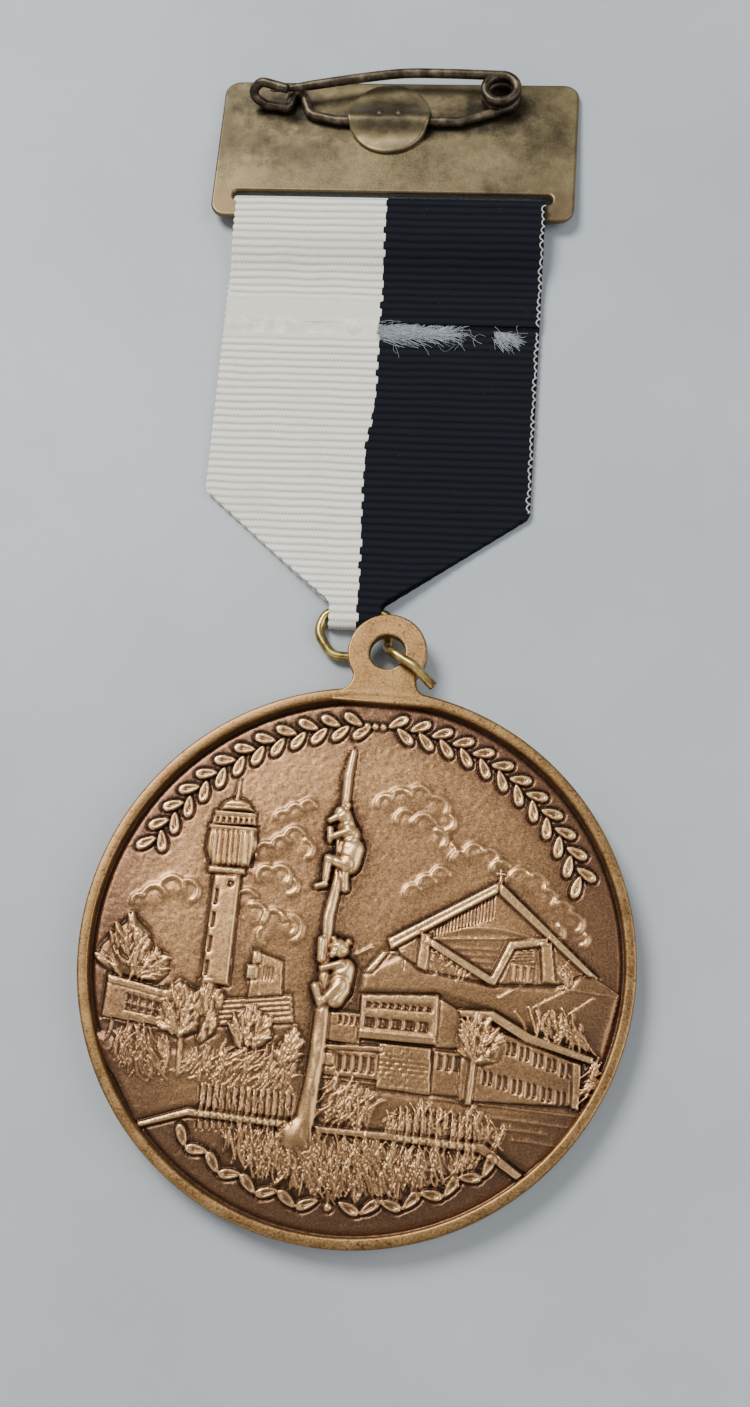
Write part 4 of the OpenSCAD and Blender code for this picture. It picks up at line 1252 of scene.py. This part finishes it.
def make_ring():
    # from behind the eyelet, round the ribbon's point, through the hole and over its edge
    ex, ey = -EYE_Y * math.sin(TURN), EYE_Y * math.cos(TURN)
    path = fillet([(-1.6, 34.2, 0.95), (-5.4, 34.4, 0.95), (-7.3, 37.2, 0.95), (-6.4, 39.65, 0.95),
                   (0.9, 39.6, 0.95), (0.95, 35.4, 0.95), (ex + 0.5, ey - 0.2, 4.35),
                   (ex + 3.2, ey - 1.9, 4.75), (ex + 5.5, ey - 4.1, 4.35)],
                  [0, 2.0, 2.2, 1.3, 0.9, 1.1, 1.5, 3.0, 0])
    node_piece("ring_wire", tube(path, 0.55, 20, dome=0.25), WIRE, "ring", "jump_ring", 50, to_row)


make_medal()
make_ribbon()
make_bar()
make_ring()


# ---------------------------------------------------------------- table, light
def make_stage():
    """A plain table and soft light, none of it part of the object."""
    me = bpy.data.meshes.new("table")
    half = 1.5
    me.from_pydata([(-half, -half, 0), (half, -half, 0), (half, half, 0), (-half, half, 0)], [],
                  [[0, 1, 2, 3]])
    o = bpy.data.objects.new("table", me)
    bpy.context.scene.collection.objects.link(o)
    o.location.z = -0.00004  # just clear of the parts that lie on it
    m = Mat("pale_table")
    col = m.ramp(m.noise(28, 5, 0.6), [(0.35, (0.350, 0.385, 0.410)), (0.65, (0.395, 0.427, 0.448))])
    m.set(Base_Color=col, Roughness=0.45, Specular_IOR_Level=0.35)
    m.bump(m.noise(420, 3), 0.06, 0.0002)
    me.materials.append(m.m)
    aim = Vector((0, -0.005, 0))
    # soft round lights: name, place, width in metres, watts, colour
    for name, place, size, power, colour in (
            ("window", (-0.42, 0.45, 0.80), 0.46, 13.0, (1.0, 0.985, 0.955)),
            ("fill", (0.60, -0.05, 0.60), 0.70, 4.4, (0.95, 0.97, 1.0)),
            ("low", (-0.40, -0.55, 0.45), 0.60, 1.2, (1.0, 0.96, 0.92))):
        light = bpy.data.lights.new(name, "AREA")
        light.shape = "DISK"
        light.size = size
        light.energy = power
        light.color = colour
        lamp = bpy.data.objects.new(name, light)
        lamp.location = place
        lamp.rotation_euler = (aim - Vector(place)).to_track_quat("-Z", "Y").to_euler()
        bpy.context.scene.collection.objects.link(lamp)
    world = bpy.data.worlds.new("room")
    world.use_nodes = True
    sky = world.node_tree.nodes["Background"].inputs
    sky["Color"].default_value = (0.83, 0.86, 0.90, 1)
    sky["Strength"].default_value = 0.36
    bpy.context.scene.world = world


make_stage()

# the photograph's view: nearly overhead, a little from the right and below
lens = bpy.data.cameras.new("camera")
lens.lens = 43.5
lens.sensor_width = 36
lens.clip_start = 0.01
cam = bpy.data.objects.new("camera", lens)
cam.location = (0.0189, -0.067, 0.184)
cam.rotation_euler = [math.radians(a) for a in (17.05, 4.62, 4.23)]
bpy.context.scene.collection.objects.link(cam)
bpy.context.scene.camera = cam
